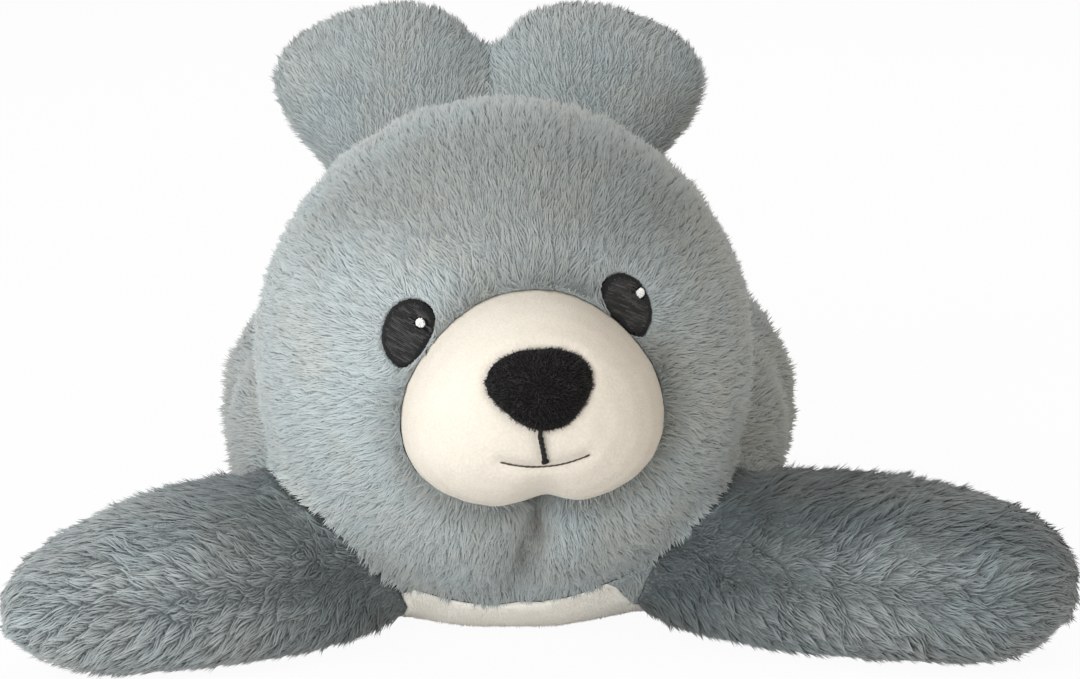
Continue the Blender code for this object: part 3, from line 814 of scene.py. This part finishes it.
def pile_tree():
    """Build the tree that grows locks on a skin."""
    tree, given = new_tree("grow_pile", PILE_INPUTS)
    seed = given["Seed"]
    points = scattered(given, "Spacing", {"Selection": named(tree, "grows", "BOOLEAN")})
    guard = value(tree, "GeometryNodeObjectInfo", {"Object": given["Keep Out"]}, "Geometry",
                  transform_space="RELATIVE")
    gap = value(tree, "GeometryNodeProximity", {0: guard}, "Distance", target_element="FACES")
    close = value(tree, "FunctionNodeCompare", {0: gap, 1: given["Clearance"]},
                  data_type="FLOAT", operation="LESS_THAN")
    kept = value(tree, "GeometryNodeDeleteGeometry", {"Geometry": points, "Selection": close},
                 domain="POINT")

    stray = value(tree, "FunctionNodeRandomValue", {"Seed": seed, 0: (-1, -1, -1), 1: (1, 1, 1)},
                  data_type="FLOAT_VECTOR")
    scale = SWIRLS / given["Clump Size"]
    swirl = value(tree, "ShaderNodeTexNoise", {"Scale": scale, "Detail": 3.0, "Roughness": 0.75},
                  "Color", normalize=False)
    middle = to_tuft(tree, given)
    way = named(tree, "comb") + swirl * given["Ruffle"] + stray * given["Stray"]
    way = way + middle * (given["Tuft"] / given["Length"])

    aside = middle.vector("LENGTH", {}, "Value") / given["Tuft Size"]
    wave = value(tree, "ShaderNodeTexNoise", {"Scale": scale * WAVES, "Detail": 2.0}, "Fac")
    crest = value(tree, "ShaderNodeMapRange", {0: wave, 1: WAVE_LOW, 2: WAVE_HIGH})
    # the crest is low in the slits between tufts; there the locks are shorter, and the pile material
    # paints them darker as shade
    crest = (aside * aside * given["Tuft"] * -TUFT_SLIT).math("ADD", crest, use_clamp=True)
    reach = named(tree, "pile", "FLOAT") * given["Length"] * (crest * CREST_GAIN + SHORTEST)
    reach = reach * random_number(seed + 1.0, *LENGTH_RANGE)
    wide = given["Length"] * given["Thickness"] * random_number(seed + 2.0, *WIDTH_RANGE)
    finish_pile(placed(kept, given["Lock"], way, wide, reach), given, crest)
    return tree


grow_pile = pile_tree()

# %% Growing and softening
FLOOR_CLEARANCE = 0.0003
SOFTNESS = 6.0
grown = []


def run_tree(item, group, values):
    """Run a node tree on an object with these input values and keep the result as its mesh."""
    change = item.modifiers.new(group.name, "NODES")
    change.node_group = group
    for socket in group.interface.items_tree:
        if socket.in_out == "INPUT" and socket.name in values:
            change[socket.identifier] = values[socket.name]
    bake_modifiers(item)


def tidy_attributes(mesh):
    """Drop the attributes that were only needed to make the piece."""
    for label in ("out", "comb", "pile", "cell", "grows"):
        if label in mesh.attributes:
            mesh.attributes.remove(mesh.attributes[label])


def triangles_of(item):
    """Number of triangles in a piece."""
    return sum(len(face.vertices) - 2 for face in item.data.polygons)


def cells_for(count):
    """How many cells the texture needs along one side, so that each lock has its own."""
    return float(math.ceil(math.sqrt(count)) + 1)


def grow(name, node, seed, spacing, softness=SOFTNESS, where=None, **inputs):
    """Grow pile on the skin of a solid, and keep it as a plain mesh object."""
    skin = skins[node].data
    held = add_object(name, skin.copy())
    if where is not None:
        grows = np.empty(len(skin.polygons), bool)
        held.data.attributes["grows"].data.foreach_get("value", grows)
        grows &= where(face_centres(skin))
        held.data.attributes["grows"].data.foreach_set("value", grows)
    cells = cells_for(sum(face.area for face in skin.polygons) / spacing ** 2)
    run_tree(held, grow_pile, dict(inputs, Seed=seed, Spacing=spacing, Cells=cells))
    mesh = held.data
    places = points_of(mesh)
    places[:, 2] = np.maximum(places[:, 2], FLOOR_CLEARANCE)
    out = read_vectors(mesh.attributes["out"].data, "vector")
    set_points(mesh, places)
    soft = unit(out * softness + normals_of(mesh))
    mesh.shade_smooth()
    mesh.normals_split_custom_set_from_vertices(soft)
    tidy_attributes(mesh)
    print(name, triangles_of(held), "triangles")
    grown.append(held)


# %% [markdown]
# ## Pile colour
# Dyed pile is darker at the root, where light is lost between the fibres, and paler at the
# tip; the ramp paints that shade in. The stored shade and the low crest of locks in the slits
# between tufts add more painted shade. Each lock has its own tone, and broad patches lean to
# blue or to brown. All of it reads attributes that travel with the mesh, so it stays put when
# the mesh is exported.

# %% Pile material
# painted shade: the stored shade mixes the pile towards a dark tint, browner on the grey pile and bluer
# on the flippers, and moves its colour towards the root
SHADE_SHARE = 0.62
SHADE_TINT = (0.60, 0.555, 0.51)
FLIPPER_SHADE_TINT = (0.47, 0.50, 0.505)
SHADE_FALL = 0.35
PATCH_LOW = 0.35
PATCH_HIGH = 0.65
LOCK_SPREAD = 0.24
FIBRE_SPREAD = 0.5
LEAST_RISE = 0.50
CREST_RISE = 0.55
FIBRES = 5.0
FIBRE_SCALE = 2.2
FIBRE_SHIFT = 40.0
KNIT_CONTRAST = 1.4
KNIT_HEIGHT = 0.0006


def ramp_of(tree, factor, stops):
    """A colour ramp with these stops."""
    node = add_node(tree, "ShaderNodeValToRGB", {0: factor})
    while len(node.color_ramp.elements) < len(stops):
        node.color_ramp.elements.new(0.5)
    for element, (place, colour) in zip(node.color_ramp.elements, stops):
        element.position = place
        element.color = (*colour, 1)
    return Value(tree, node.outputs[0])


def mixed(tree, factor, first, second, blend="MULTIPLY"):
    """Mix two colours."""
    return value(tree, "ShaderNodeMix", {0: factor, 6: first, 7: second}, 2, data_type="RGBA",
                 blend_type=blend)


def attribute(tree, name, output="Fac"):
    """Read an attribute of the mesh in a material."""
    return value(tree, "ShaderNodeAttribute", output=output, attribute_name=name)


def strand_place(tree):
    """The place across and along a lock or a stitch."""
    parts = add_node(tree, "ShaderNodeSeparateXYZ", {0: attribute(tree, "strand", "Vector")})
    return Value(tree, parts.outputs["X"]), Value(tree, parts.outputs["Y"])


def pile_material(name, stops, warm, cool, patch_size, sheen=0.25, variety=1.0, dark=SHADE_TINT):
    """Pile that goes through these colours from root to tip, darkened by painted shade from the stored
    shade and the crest.
    """
    material, tree, shader = new_material(name)
    across, along = strand_place(tree)
    tint = attribute(tree, "tint")
    shade = attribute(tree, "shade")
    # painted shade: a low crest in the slits between tufts and the stored shade move the colour towards
    # the root and the dark tint
    rise = along * (attribute(tree, "crest") * CREST_RISE + LEAST_RISE)
    rise = rise * (shade * -SHADE_FALL + 1.0)
    colour = mixed(tree, shade * SHADE_SHARE, ramp_of(tree, rise, stops), (*dark, 1))
    place = value(tree, "ShaderNodeTexCoord", output="Object")
    patch = value(tree, "ShaderNodeTexNoise", {"Vector": place, "Scale": 1 / patch_size,
                  "Detail": 3.0, "Roughness": 0.6}, "Fac")
    patch = value(tree, "ShaderNodeMapRange", {0: patch, 1: PATCH_LOW, 2: PATCH_HIGH})
    colour = mixed(tree, 1.0, colour, mixed(tree, patch, (*warm, 1), (*cool, 1), "MIX"))
    fibre = value(tree, "ShaderNodeCombineXYZ", {0: across * FIBRES, 1: along, 2: tint * FIBRE_SHIFT})
    fibre = value(tree, "ShaderNodeTexNoise", {"Vector": fibre, "Scale": FIBRE_SCALE,
                  "Detail": 1.0}, "Fac")
    own = tint * (LOCK_SPREAD * variety) + (1 - LOCK_SPREAD / 2 * variety)
    tone = own * (fibre * (FIBRE_SPREAD * variety) + (1 - FIBRE_SPREAD / 2 * variety))
    feed(shader, {"Base Color": mixed(tree, 1.0, colour, tone), "Roughness": 0.85,
                  "Specular IOR Level": 0.15, "Sheen Weight": sheen, "Sheen Roughness": 0.5})
    return material


def backing_material(name, colour, grain, light=1.15, dark=0.55, depth=0.6):
    """Knitted backing that shows between the locks, from light loops to dark gaps painted as shade."""
    material, tree, shader = new_material(name)
    place = value(tree, "ShaderNodeTexCoord", output="Object")
    spots = value(tree, "ShaderNodeTexVoronoi", {"Vector": place, "Scale": 1 / grain})
    shade = ramp_of(tree, spots * KNIT_CONTRAST, [(0.0, [c * light for c in colour]),
                                                  (1.0, [c * dark for c in colour])])
    bump = value(tree, "ShaderNodeBump", {"Height": spots, "Distance": KNIT_HEIGHT,
                 "Strength": depth}, invert=True)
    feed(shader, {"Base Color": shade, "Normal": bump, "Roughness": 0.95,
                  "Specular IOR Level": 0.1})
    return material


GREY_STOPS = [(0.0, (0.31, 0.345, 0.35)), (0.35, (0.43, 0.475, 0.48)), (1.0, (0.535, 0.585, 0.59))]
# the flipper pile is the same grey plush, given much darker roots and mid tones as painted shade between
# its longer locks, and paler tips as painted light
FLIPPER_STOPS = [(0.0, (0.15, 0.17, 0.175)), (0.35, (0.34, 0.38, 0.39)), (1.0, (0.60, 0.65, 0.66))]
WARM = (1.03, 0.99, 0.95)
COOL = (0.97, 1.0, 1.02)
grey_pile = pile_material("grey_pile", GREY_STOPS, WARM, COOL, 0.03, variety=0.4)
flipper_pile = pile_material("flipper_pile", FLIPPER_STOPS, WARM, COOL, 0.03, variety=0.6,
                             dark=FLIPPER_SHADE_TINT)
grey_backing = backing_material("grey_backing", (0.36, 0.40, 0.41), 0.0009, 1.05, 0.75)
# painted shade: the flipper backing is the grey backing made darker
flipper_backing = backing_material("flipper_backing", (0.18, 0.20, 0.205), 0.0012)

# %% [markdown]
# ## The grey pile
# The fine pile covers the head, the body and the tail. The head takes most of the locks,
# because that is where one looks, and it is grown in two pieces: a dense one in front and a
# lighter one behind. A guard made of the eyes and the muzzle keeps locks from growing there.

# %% Grow the grey pile
HEAD_SPLIT_Y = HEAD_CENTRE.y + 0.006
EYE_OVERHANG = 0.0004


def make_face_guard():
    """Join the muzzle and the eyes, with each eye drawn in so that pile hangs over its edge."""
    guard = copy_of(["muzzle"], "muzzle_guard")
    made = bmesh.new()
    made.from_mesh(guard.data)
    remove_object(guard)
    for word in SIDE:
        low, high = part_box("eye_" + word)
        middle = (low + high) / 2
        start = len(made.verts)
        made.from_mesh(NODES["eye_" + word].data)
        made.verts.ensure_lookup_table()
        for corner in made.verts[start:]:
            ray = corner.co - middle
            corner.co = middle + ray * max(0.0, 1 - EYE_OVERHANG / ray.length)
    return object_from(made, "face_guard")


face_guard = make_face_guard()
FINE = {"Lock": fine_lock, "Keep Out": face_guard, "Clearance": 0.0001, "Material": grey_pile,
        "Thickness": 1.3, "Clump Size": 0.006, "Ruffle": 0.43, "Stray": 0.15,
        "Tuft Size": 0.0032, "Tuft": 0.55}
SHAGGY = dict(FINE, Material=flipper_pile, Length=0.0048, Ruffle=0.46, Tuft=0.6, Stray=0.10)
SHAGGY["Tuft Size"] = 0.0044
grow("head_pile_front", "head", 11, 0.00061, where=lambda c: c[:, 1] < HEAD_SPLIT_Y, **FINE,
     Length=0.0037)
grow("head_pile_back", "head", 12, 0.00095, where=lambda c: c[:, 1] >= HEAD_SPLIT_Y, **FINE,
     Length=0.0044)
grow("body_pile", "body", 13, 0.00105, **FINE, Length=0.0046)
for number, word in enumerate(SIDE):
    front = "front_flipper_" + word
    rear = "rear_flipper_" + word
    grow(front + "_pile", front, 20 + number, 0.0008, **SHAGGY)
    grow(rear + "_pile", rear, 30 + number, 0.00075, **FINE, Length=0.0038)

# %% [markdown]
# ## The muzzle and the nose
# The muzzle is a pad of cream velour with a very short nap, and the nose a padded patch of the
# same in black, whose nap makes its edge ragged. Both start from their solids, remeshed finely
# so that no facet shows. The same tree as before grows the nap, only shorter and closer.

# %% Short nap
NAP_GRAIN = 0.0014
NOSE_GRAIN = 0.0009
MOUTH_PULL = 0.0007
VALLEY_X = 0.0006
VALLEY_WIDTH = 0.0042
VALLEY_TOP = 0.072
VALLEY_LOW = 0.060
VALLEY_DEPTH = 0.0013
PULL_REACH = 0.0016
BACK_OF_NAP = 0.35
CREAMY = (1.01, 1.0, 0.98)
PLAIN = (1.0, 1.0, 1.0)
CREAM_STOPS = [(0.0, (0.70, 0.645, 0.55)), (0.4, (0.74, 0.69, 0.61)), (1.0, (0.78, 0.74, 0.67))]
# the belly panel is its own cream fabric; its nap and backing are painted paler than the muzzle's as
# painted light, for the shade under the chin
PALE_STOPS = [(0.0, (0.86, 0.82, 0.74)), (0.4, (0.90, 0.87, 0.80)), (1.0, (0.93, 0.91, 0.86))]
BLACK_STOPS = [(0.0, (0.005, 0.005, 0.005)), (0.5, (0.014, 0.013, 0.013)), (1.0, (0.075, 0.066, 0.068))]
cream_nap = pile_material("cream_nap", CREAM_STOPS, CREAMY, PLAIN, 0.02, 0.3, variety=0.12)
cream_backing = backing_material("cream_backing", (0.745, 0.69, 0.61), 0.0009, 1.0, 0.90, 0.15)
pale_nap = pile_material("pale_nap", PALE_STOPS, CREAMY, PLAIN, 0.02, 0.3, variety=0.12)
pale_backing = backing_material("pale_backing", (0.93, 0.90, 0.83), 0.0009, 1.0, 0.90, 0.15)
black_nap = pile_material("black_nap", BLACK_STOPS, (1.1, 1.0, 1.0), PLAIN, 0.02, 0.12, variety=1.5)
black_backing = backing_material("black_backing", (0.008, 0.008, 0.008), 0.0006)


def pulled_in(places):
    """How far the mouth's thread pulls the muzzle in, and the valley between its two lobes."""
    thread = np.minimum(distance_to("philtrum_thread", places), distance_to("mouth_thread", places))
    aside = (places[:, 0] - VALLEY_X) / VALLEY_WIDTH
    low = 1 - step_between(places[:, 2], VALLEY_LOW, VALLEY_TOP)
    pull = MOUTH_PULL * np.exp(-(thread / PULL_REACH) ** 2)
    return pull + VALLEY_DEPTH * low * np.exp(-aside ** 2)


def nap_skin(node, grain, depth, centre, lean, pull=None):
    """Make the finely meshed skin of a short-pile part, combed away from a centre."""
    piece = copy_of([node], node + "_skin")
    voxel_remesh(piece, grain)
    mesh = piece.data
    places = smoothed(mesh, points_of(mesh), 3)
    set_points(mesh, places)
    out = unit(smoothed(mesh, normals_of(mesh), 4))
    if pull is not None:
        depth = (depth + pull(places))[:, None]
    places = places - out * depth
    set_points(mesh, places)
    mesh.shade_smooth()
    free = out[:, 1] < BACK_OF_NAP
    shown = [bool(free[list(face.vertices)].all()) for face in mesh.polygons]
    write_attribute(mesh, "grows", shown, "FACE")
    write_attribute(mesh, "out", out)
    store_comb(mesh, out, along_skin(places - np.array(centre), out), lean, 1.0, 0.0)
    return piece


# %% Grow the nap
nose_guard = copy_of(["nose", "philtrum_thread"], "nose_guard")
nose_low, nose_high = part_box("nose")
NOSE_CENTRE = (nose_low + nose_high) / 2 + Vector((0, 0.004, 0))
NO_GUARD = -1.0
NAP = {"Lock": fuzz, "Keep Out": nose_guard, "Clump Size": 0.004, "Stray": 0.3, "Ruffle": 0.2,
       "Tuft": 0.0, "Tuft Size": 0.003}
SMOOTH = dict(NAP, Stray=0.08, Ruffle=0.12)
WILD = dict(NAP, Stray=0.9)
NAP_BOTTOM = 0.0008
skins["muzzle"] = nap_skin("muzzle", NAP_GRAIN, 0.0, NOSE_CENTRE, 83, pulled_in)
grow("muzzle_nap", "muzzle", 41, 0.00048, softness=20.0, **SMOOTH, Length=0.0008,
     Thickness=1.2, Material=cream_nap, Clearance=0.0004)
skins["nose"] = nap_skin("nose", NOSE_GRAIN, 0.0003, NOSE_CENTRE, 40)
grow("nose_nap", "nose", 42, 0.00036, **WILD, Length=0.0012, Thickness=1.3,
     Material=black_nap, Clearance=NO_GUARD)
grow("belly_nap", "belly_panel", 43, 0.0008, softness=12.0, where=lambda c: c[:, 2] > NAP_BOTTOM,
     **SMOOTH, Length=0.0019, Thickness=1.1, Material=pale_nap, Clearance=NO_GUARD)

# %% [markdown]
# ## Thread
# The eyes, their glints and the mouth are embroidered. Machine embroidery lays straight
# stitches side by side: rows across the filled part, and short ones across the edge for a
# clean rim. Each stitch is one slim rounded piece of thread. Python works out from the outline
# of each solid where the stitches go, and Geometry Nodes lay the thread there.

# %% One stitch
THREAD_WIDTH = 0.00055
THREAD_RANGE = (0.9, 1.1)
STITCH_SIDES = 6
STITCH_PROFILE = [(-0.5, 0.25), (-0.42, 0.8), (-0.15, 1.0), (0.15, 1.0), (0.42, 0.8), (0.5, 0.25)]


def stitch_mesh():
    """A rounded stitch along Z, one unit long and one unit thick."""
    made, flat, strand = start_strand()
    hoops = []
    for height, thick in STITCH_PROFILE:
        hoop = []
        for k in range(STITCH_SIDES):
            angle = math.tau * k / STITCH_SIDES
            spot = (math.cos(angle) * thick / 2, math.sin(angle) * thick / 2, height)
            hoop.append(made.verts.new(spot))
            hoop[-1][strand] = Vector((k / STITCH_SIDES, height + 0.5, 0))
        hoops.append(hoop)
    for low, high in zip(hoops, hoops[1:]):
        for k in range(STITCH_SIDES):
            j = (k + 1) % STITCH_SIDES
            made.faces.new((low[k], low[j], high[j], high[k]))
    made.faces.new(hoops[0][::-1])
    made.faces.new(hoops[-1])
    for face in made.faces:
        around = sorted(loop.vert[strand].x for loop in face.loops)
        wraps = around[-1] - around[0] > 0.5
        for loop in face.loops:
            across = loop.vert[strand].x
            if wraps and across < 0.5:
                across += 1
            if len(face.loops) > 4:
                corner = loop.vert.co * 0.12
                loop[flat].uv = (0.2 + corner.x + (0.4 if loop.vert.co.z > 0 else 0), 0.93 + corner.y)
            else:
                loop[flat].uv = (0.05 + 0.75 * across, 0.05 + 0.75 * loop.vert[strand].y)
    return object_from(made, "stitch")


stitch = stitch_mesh()


# %% The stitching tree
STITCH_INPUTS = {"Places": "Geometry", "Stitch": "Object", "Thread": "Float", "Cells": "Float",
                 "Seed": "Int", "Material": "Material"}
sewn = {}


def stitch_tree():
    """Build the tree that lays a stitch at each corner of a mesh."""
    tree, given = new_tree("lay_stitches", STITCH_INPUTS)
    points = value(tree, "GeometryNodeMeshToPoints", {"Mesh": given["Places"]})
    thick = given["Thread"] * random_number(given["Seed"], *THREAD_RANGE)
    long = named(tree, "pile", "FLOAT")
    finish_pile(placed(points, given["Stitch"], named(tree, "comb"), thick, long), given)
    return tree


lay_stitches = stitch_tree()


def sew(name, stitches, seed, thread, material):
    """Lay a list of stitches, each a middle, a direction, an outward direction and a length."""
    middles, runs, outs, lengths = zip(*stitches)
    mesh = bpy.data.meshes.new(name)
    mesh.from_pydata(middles, [], [])
    write_attribute(mesh, "comb", [list(run) for run in runs])
    write_attribute(mesh, "out", [list(out) for out in outs])
    write_attribute(mesh, "pile", lengths)
    held = add_object(name, mesh)
    run_tree(held, lay_stitches, {"Stitch": stitch, "Thread": thread, "Seed": seed,
                                  "Cells": cells_for(len(stitches)), "Material": material})
    held.data.shade_smooth()
    tidy_attributes(held.data)
    print(name, len(stitches), "stitches,", triangles_of(held), "triangles")
    sewn[name] = held


# %% [markdown]
# ## The eyes
# Each eye is an oval of charcoal rows inside a black satin rim, sewn on a dark felt pad, with a
# white glint on a white one. A ray from the front finds the place of every stitch on the eye's
# solid, so the rows follow its crown. The stitches differ a little in length and tone, and
# that is what makes them read as thread.

# %% Eye stitching
EDGE_ANGLES = np.arange(64) * math.tau / 64
RIM_WIDTH = 0.0020
RIM_RAGGED = 0.00035
ROW_STEP = 0.00048
FILL_STITCH = 0.0036
FILL_ANGLE = math.radians(-24.0)
ALONG_ROWS = np.array((math.cos(FILL_ANGLE), math.sin(FILL_ANGLE)))
ACROSS_ROWS = np.array((-ALONG_ROWS[1], ALONG_ROWS[0]))
RIM_STEP = ROW_STEP * 0.85
RIM_OVERLAP = 0.7
RAY_START = 0.02
FACING = 0.3
THREAD_LIFT = 0.0001
GLINT_LIFT = 0.00015
GLINT_STEP = 0.0003
GLINT_MARGIN = 0.0002
GLINT_STITCH = 0.01
PAD_GRAIN = 0.0006
PLY_TURNS = 2 * math.tau
PLY_SLANT = 60.0
PLY_CONTRAST = 0.12
PLY_HEIGHT = 0.00006


def thread_material(name, colour, shine, variety=0.3):
    """Twisted rayon thread: fine slanted plies, and a satin shine."""
    material, tree, shader = new_material(name)
    across, along = strand_place(tree)
    ply = (across * PLY_TURNS + along * PLY_SLANT).math("SINE")
    own = attribute(tree, "tint").math("POWER", 2.0) * variety + (1 - variety / 3)
    # the plies darken and lighten the thread's colour as painted light and shade on the twist, besides
    # their bump
    colour = mixed(tree, 1.0, (*colour, 1), own + ply * PLY_CONTRAST)
    bump = value(tree, "ShaderNodeBump", {"Height": ply, "Distance": PLY_HEIGHT, "Strength": 0.5})
    feed(shader, {"Base Color": colour, "Normal": bump, "Roughness": 0.5,
                  "Specular IOR Level": shine, "Sheen Weight": 0.04})
    return material


charcoal_thread = thread_material("charcoal_thread", (0.022, 0.021, 0.021), 0.35, 2.4)
black_thread = thread_material("black_thread", (0.005, 0.005, 0.005), 0.2, 0.6)
white_thread = thread_material("white_thread", (0.90, 0.90, 0.89), 0.4)
brown_thread = thread_material("brown_thread", (0.070, 0.055, 0.045), 0.3)


class Patch:
    """An embroidered patch seen from its front, with its own axes and its edge by direction."""

    def __init__(self, node, lift=THREAD_LIFT):
        self.lift = lift
        low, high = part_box(node)
        self.centre = (low + high) / 2
        self.front = (self.centre - HEAD_CENTRE).normalized()
        self.across = Vector((0, 0, 1)).cross(self.front).normalized()
        self.up = self.front.cross(self.across)
        self.tree = trees[node]
        self.edge = [self.find_edge(angle) for angle in EDGE_ANGLES]
        print(node, "reaches", [round(far / MM, 1) for far in self.edge[::8]], "mm")

    def at(self, u, v):
        """The place and outward direction of the patch at (u, v), or None off the patch."""
        start = self.centre + self.across * u + self.up * v + self.front * RAY_START
        spot, normal, _, _ = self.tree.ray_cast(start, -self.front)
        if spot is None or normal.dot(self.front) < FACING:
            return None
        return spot + normal * self.lift, normal

    def find_edge(self, angle):
        """How far the patch reaches in one direction, found by halving."""
        low = 0.0
        high = RAY_START
        for _ in range(10):
            middle = (low + high) / 2
            if self.at(middle * math.cos(angle), middle * math.sin(angle)):
                low = middle
            else:
                high = middle
        return low

    def reach(self, angle):
        """How far stitches may go in one direction."""
        return np.interp(angle, EDGE_ANGLES, self.edge, period=math.tau)

    def inside(self, u, v, margin):
        """Whether a place is further than the margin from the edge."""
        return math.hypot(u, v) < self.reach(math.atan2(v, u)) - margin

    def far_from(self, other, spot):
        """Whether a spot on another patch lies clear of this one."""
        place = other.at(*spot)
        return place is None or (place[0] - self.centre).length > max(self.edge)

    def stitch(self, first, last):
        """A stitch between two places of the patch, or None if one of them is off it."""
        one = self.at(*first)
        two = self.at(*last)
        if one is None or two is None:
            return None
        run = two[0] - one[0]
        return (one[0] + two[0]) / 2, run.normalized(), (one[1] + two[1]).normalized(), run.length


def fill_rows(patch, margin, step, length, hole=None):
    """Rows of stitches across a patch, staggered like bricks, that leave out a hole."""
    found = []
    reach = max(patch.edge)
    small = step / 2
    for row in range(-int(reach / step), int(reach / step) + 1):
        run = []
        for number in range(-int(reach / small), int(reach / small) + 2):
            spot = ALONG_ROWS * number * small + ACROSS_ROWS * row * step
            within = patch.inside(*spot, margin) and (hole is None or hole.far_from(patch, spot))
            if within:
                run.append(spot)
            turn = (number * small + row % 3 * length / 3) % length < small
            if run and (turn or not within):
                if len(run) > 1:
                    over = ALONG_ROWS * small / 2
                    found.append(patch.stitch(run[0] - over, run[-1] + over))
                run = [run[-1]] if within else []
    return [entry for entry in found if entry]


def satin_rim(patch, seed):
    """Short stitches across the edge of a patch, all the way round, with uneven ends."""
    found = []
    dice = np.random.default_rng(seed)
    count = int(math.tau * sum(patch.edge) / len(patch.edge) / RIM_STEP)
    for number in range(count):
        angle = math.tau * number / count
        way = np.array((math.cos(angle), math.sin(angle)))
        reach = patch.reach(angle)
        inner, outer = dice.uniform(-RIM_RAGGED, RIM_RAGGED), dice.uniform(0, RIM_RAGGED)
        found.append(patch.stitch(way * (reach - RIM_WIDTH + inner), way * (reach - outer)))
    return [entry for entry in found if entry]


def add_pad(node, material, grain):
    """The felt pad under an embroidered patch, which fills the slits between its stitches."""
    pad = copy_of([node], node + "_pad")
    voxel_remesh(pad, grain)
    set_points(pad.data, smoothed(pad.data, points_of(pad.data), 2))
    pad.data.shade_smooth()
    pad.data.materials.append(material)
    sewn[pad.name] = pad


dark_felt = backing_material("dark_felt", (0.012, 0.012, 0.012), 0.0006)
white_felt = backing_material("white_felt", (0.85, 0.85, 0.84), 0.0006)
for number, word in enumerate(SIDE):
    name = "eye_" + word
    glint_name = "eye_glint_" + word
    add_pad(name, dark_felt, PAD_GRAIN)
    eye = Patch(name)
    glint = Patch(glint_name, GLINT_LIFT)
    rows = fill_rows(eye, RIM_WIDTH * RIM_OVERLAP, ROW_STEP, FILL_STITCH, glint)
    sew(name + "_fill", rows, 51 + number, THREAD_WIDTH, charcoal_thread)
    sew(name + "_rim", satin_rim(eye, 53 + number), 53 + number, THREAD_WIDTH, black_thread)
    add_pad(glint_name, white_felt, GLINT_STEP)
    rows = fill_rows(glint, GLINT_MARGIN, GLINT_STEP, GLINT_STITCH)
    sew(glint_name + "_thread", rows, 55 + number, THREAD_WIDTH * 0.8, white_thread)

# %% [markdown]
# ## The mouth
# The line under the nose is sewn by hand: a few long black stitches down, and a fine brown
# line across that pulls the nap in. Rays from the front find the line on its solid.

# %% Mouth stitching
MOUTH_STITCH = 0.0016
LINE_END = 0.0002
ROPE_THREAD = 0.00135
ROPE_TAIL = 0.0014
ROPE_OVERLAP = 1.5
ROPE_SLANT = 0.30
KNOT_WAY = Vector((1, 0, 0.3)).normalized()
KNOT_LENGTH = 0.0022
SUNK = 0.0002
SMILE_OVERLAP = 1.12
SMILE_SLANT = 0.06
FRONT = Vector((0, -1, 0))


def line_of(node, axis, bends, longer=0.0):
    """Places along a thread's solid, on a curve fitted to it, a little longer at its far end."""
    low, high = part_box(node)
    corners = points_of(NODES[node].data)
    curves = [np.polyfit(corners[:, axis], corners[:, k], bends) for k in range(3)]
    count = int((high[axis] - low[axis]) / MOUTH_STITCH * 2) // 2 * 2
    found = []
    for level in np.linspace(low[axis] + LINE_END, high[axis] - LINE_END, count + 1):
        middle = Vector([np.polyval(curve, level) for curve in curves])
        spot, _, _, _ = trees[node].ray_cast(middle + FRONT * RAY_START, -FRONT)
        if spot is not None:
            found.append((spot, (spot - MUZZLE_ROOT).normalized()))
    ahead = (found[-1][0] - found[0][0]).normalized() * longer
    return found + [(found[-1][0] + ahead, found[-1][1])] * (longer > 0)


def back_stitch(places, overlap, slant, sunk):
    """Stitches that run on along a line, each a little under the next and turned by a slant."""
    found = []
    for k in range(0, len(places) - 2, 2):
        one, out = places[k]
        two, _ = places[min(k + 2, len(places) - 1)]
        run = two - one
        aside = out.cross(run).normalized() * run.length * slant
        found.append(((one + two) / 2 - out * sunk, (run + aside).normalized(), out,
                      run.length * overlap))
    return found


philtrum = line_of("philtrum_thread", 2, 1, ROPE_TAIL)
rope = back_stitch(philtrum, ROPE_OVERLAP, ROPE_SLANT, SUNK)
rope += back_stitch(philtrum[1:], ROPE_OVERLAP, -ROPE_SLANT, SUNK / 2)
rope.append((philtrum[0][0], KNOT_WAY, philtrum[0][1], KNOT_LENGTH))
sew("philtrum_stitches", rope, 61, ROPE_THREAD, black_thread)
smile = back_stitch(line_of("mouth_thread", 0, 4), SMILE_OVERLAP, SMILE_SLANT, SUNK)
sew("mouth_stitches", smile, 62, THREAD_WIDTH, brown_thread)

# %% [markdown]
# ## Handing over
# Every piece moves with the root. Each skin takes its finish and hides the solid it stands for,
# as the eye fills, the glint threads and the mouth's stitches hide theirs. The skins are closed
# bags that fibre fills.

# %% Pieces, finishes and the frame
SKIN_FINISH = {"belly_panel": pale_backing, "muzzle": cream_backing, "nose": black_backing,
               "front_flipper_left": flipper_backing, "front_flipper_right": flipper_backing}
SLOTS = {part["node"]: part["material_slot"] for part in frame["record"]["subparts"]}


def hand_over(item, stands_for=()):
    """Parent one finished piece to the root, and hide the solids it stands for."""
    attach(item, "root")
    if stands_for:
        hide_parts(*stands_for)


for node, skin in skins.items():
    skin.data.materials.clear()
    skin.data.materials.append(SKIN_FINISH.get(node, grey_backing))
    tidy_attributes(skin.data)
    skin.data.attributes.remove(skin.data.attributes["shade"])
    hand_over(skin, [node])
for item in grown:
    owner = [node for node in skins if item.name.startswith(node.replace("_panel", ""))]
    hand_over(item)
for name, item in sewn.items():
    owner = [node for node in SLOTS if name.startswith(node.replace("_thread", ""))]
    hand_over(item, [owner[-1]] if name.endswith(("fill", "stitches", "thread")) else [])
for item in (fine_lock, fuzz, stitch, face_guard, nose_guard):
    remove_object(item)
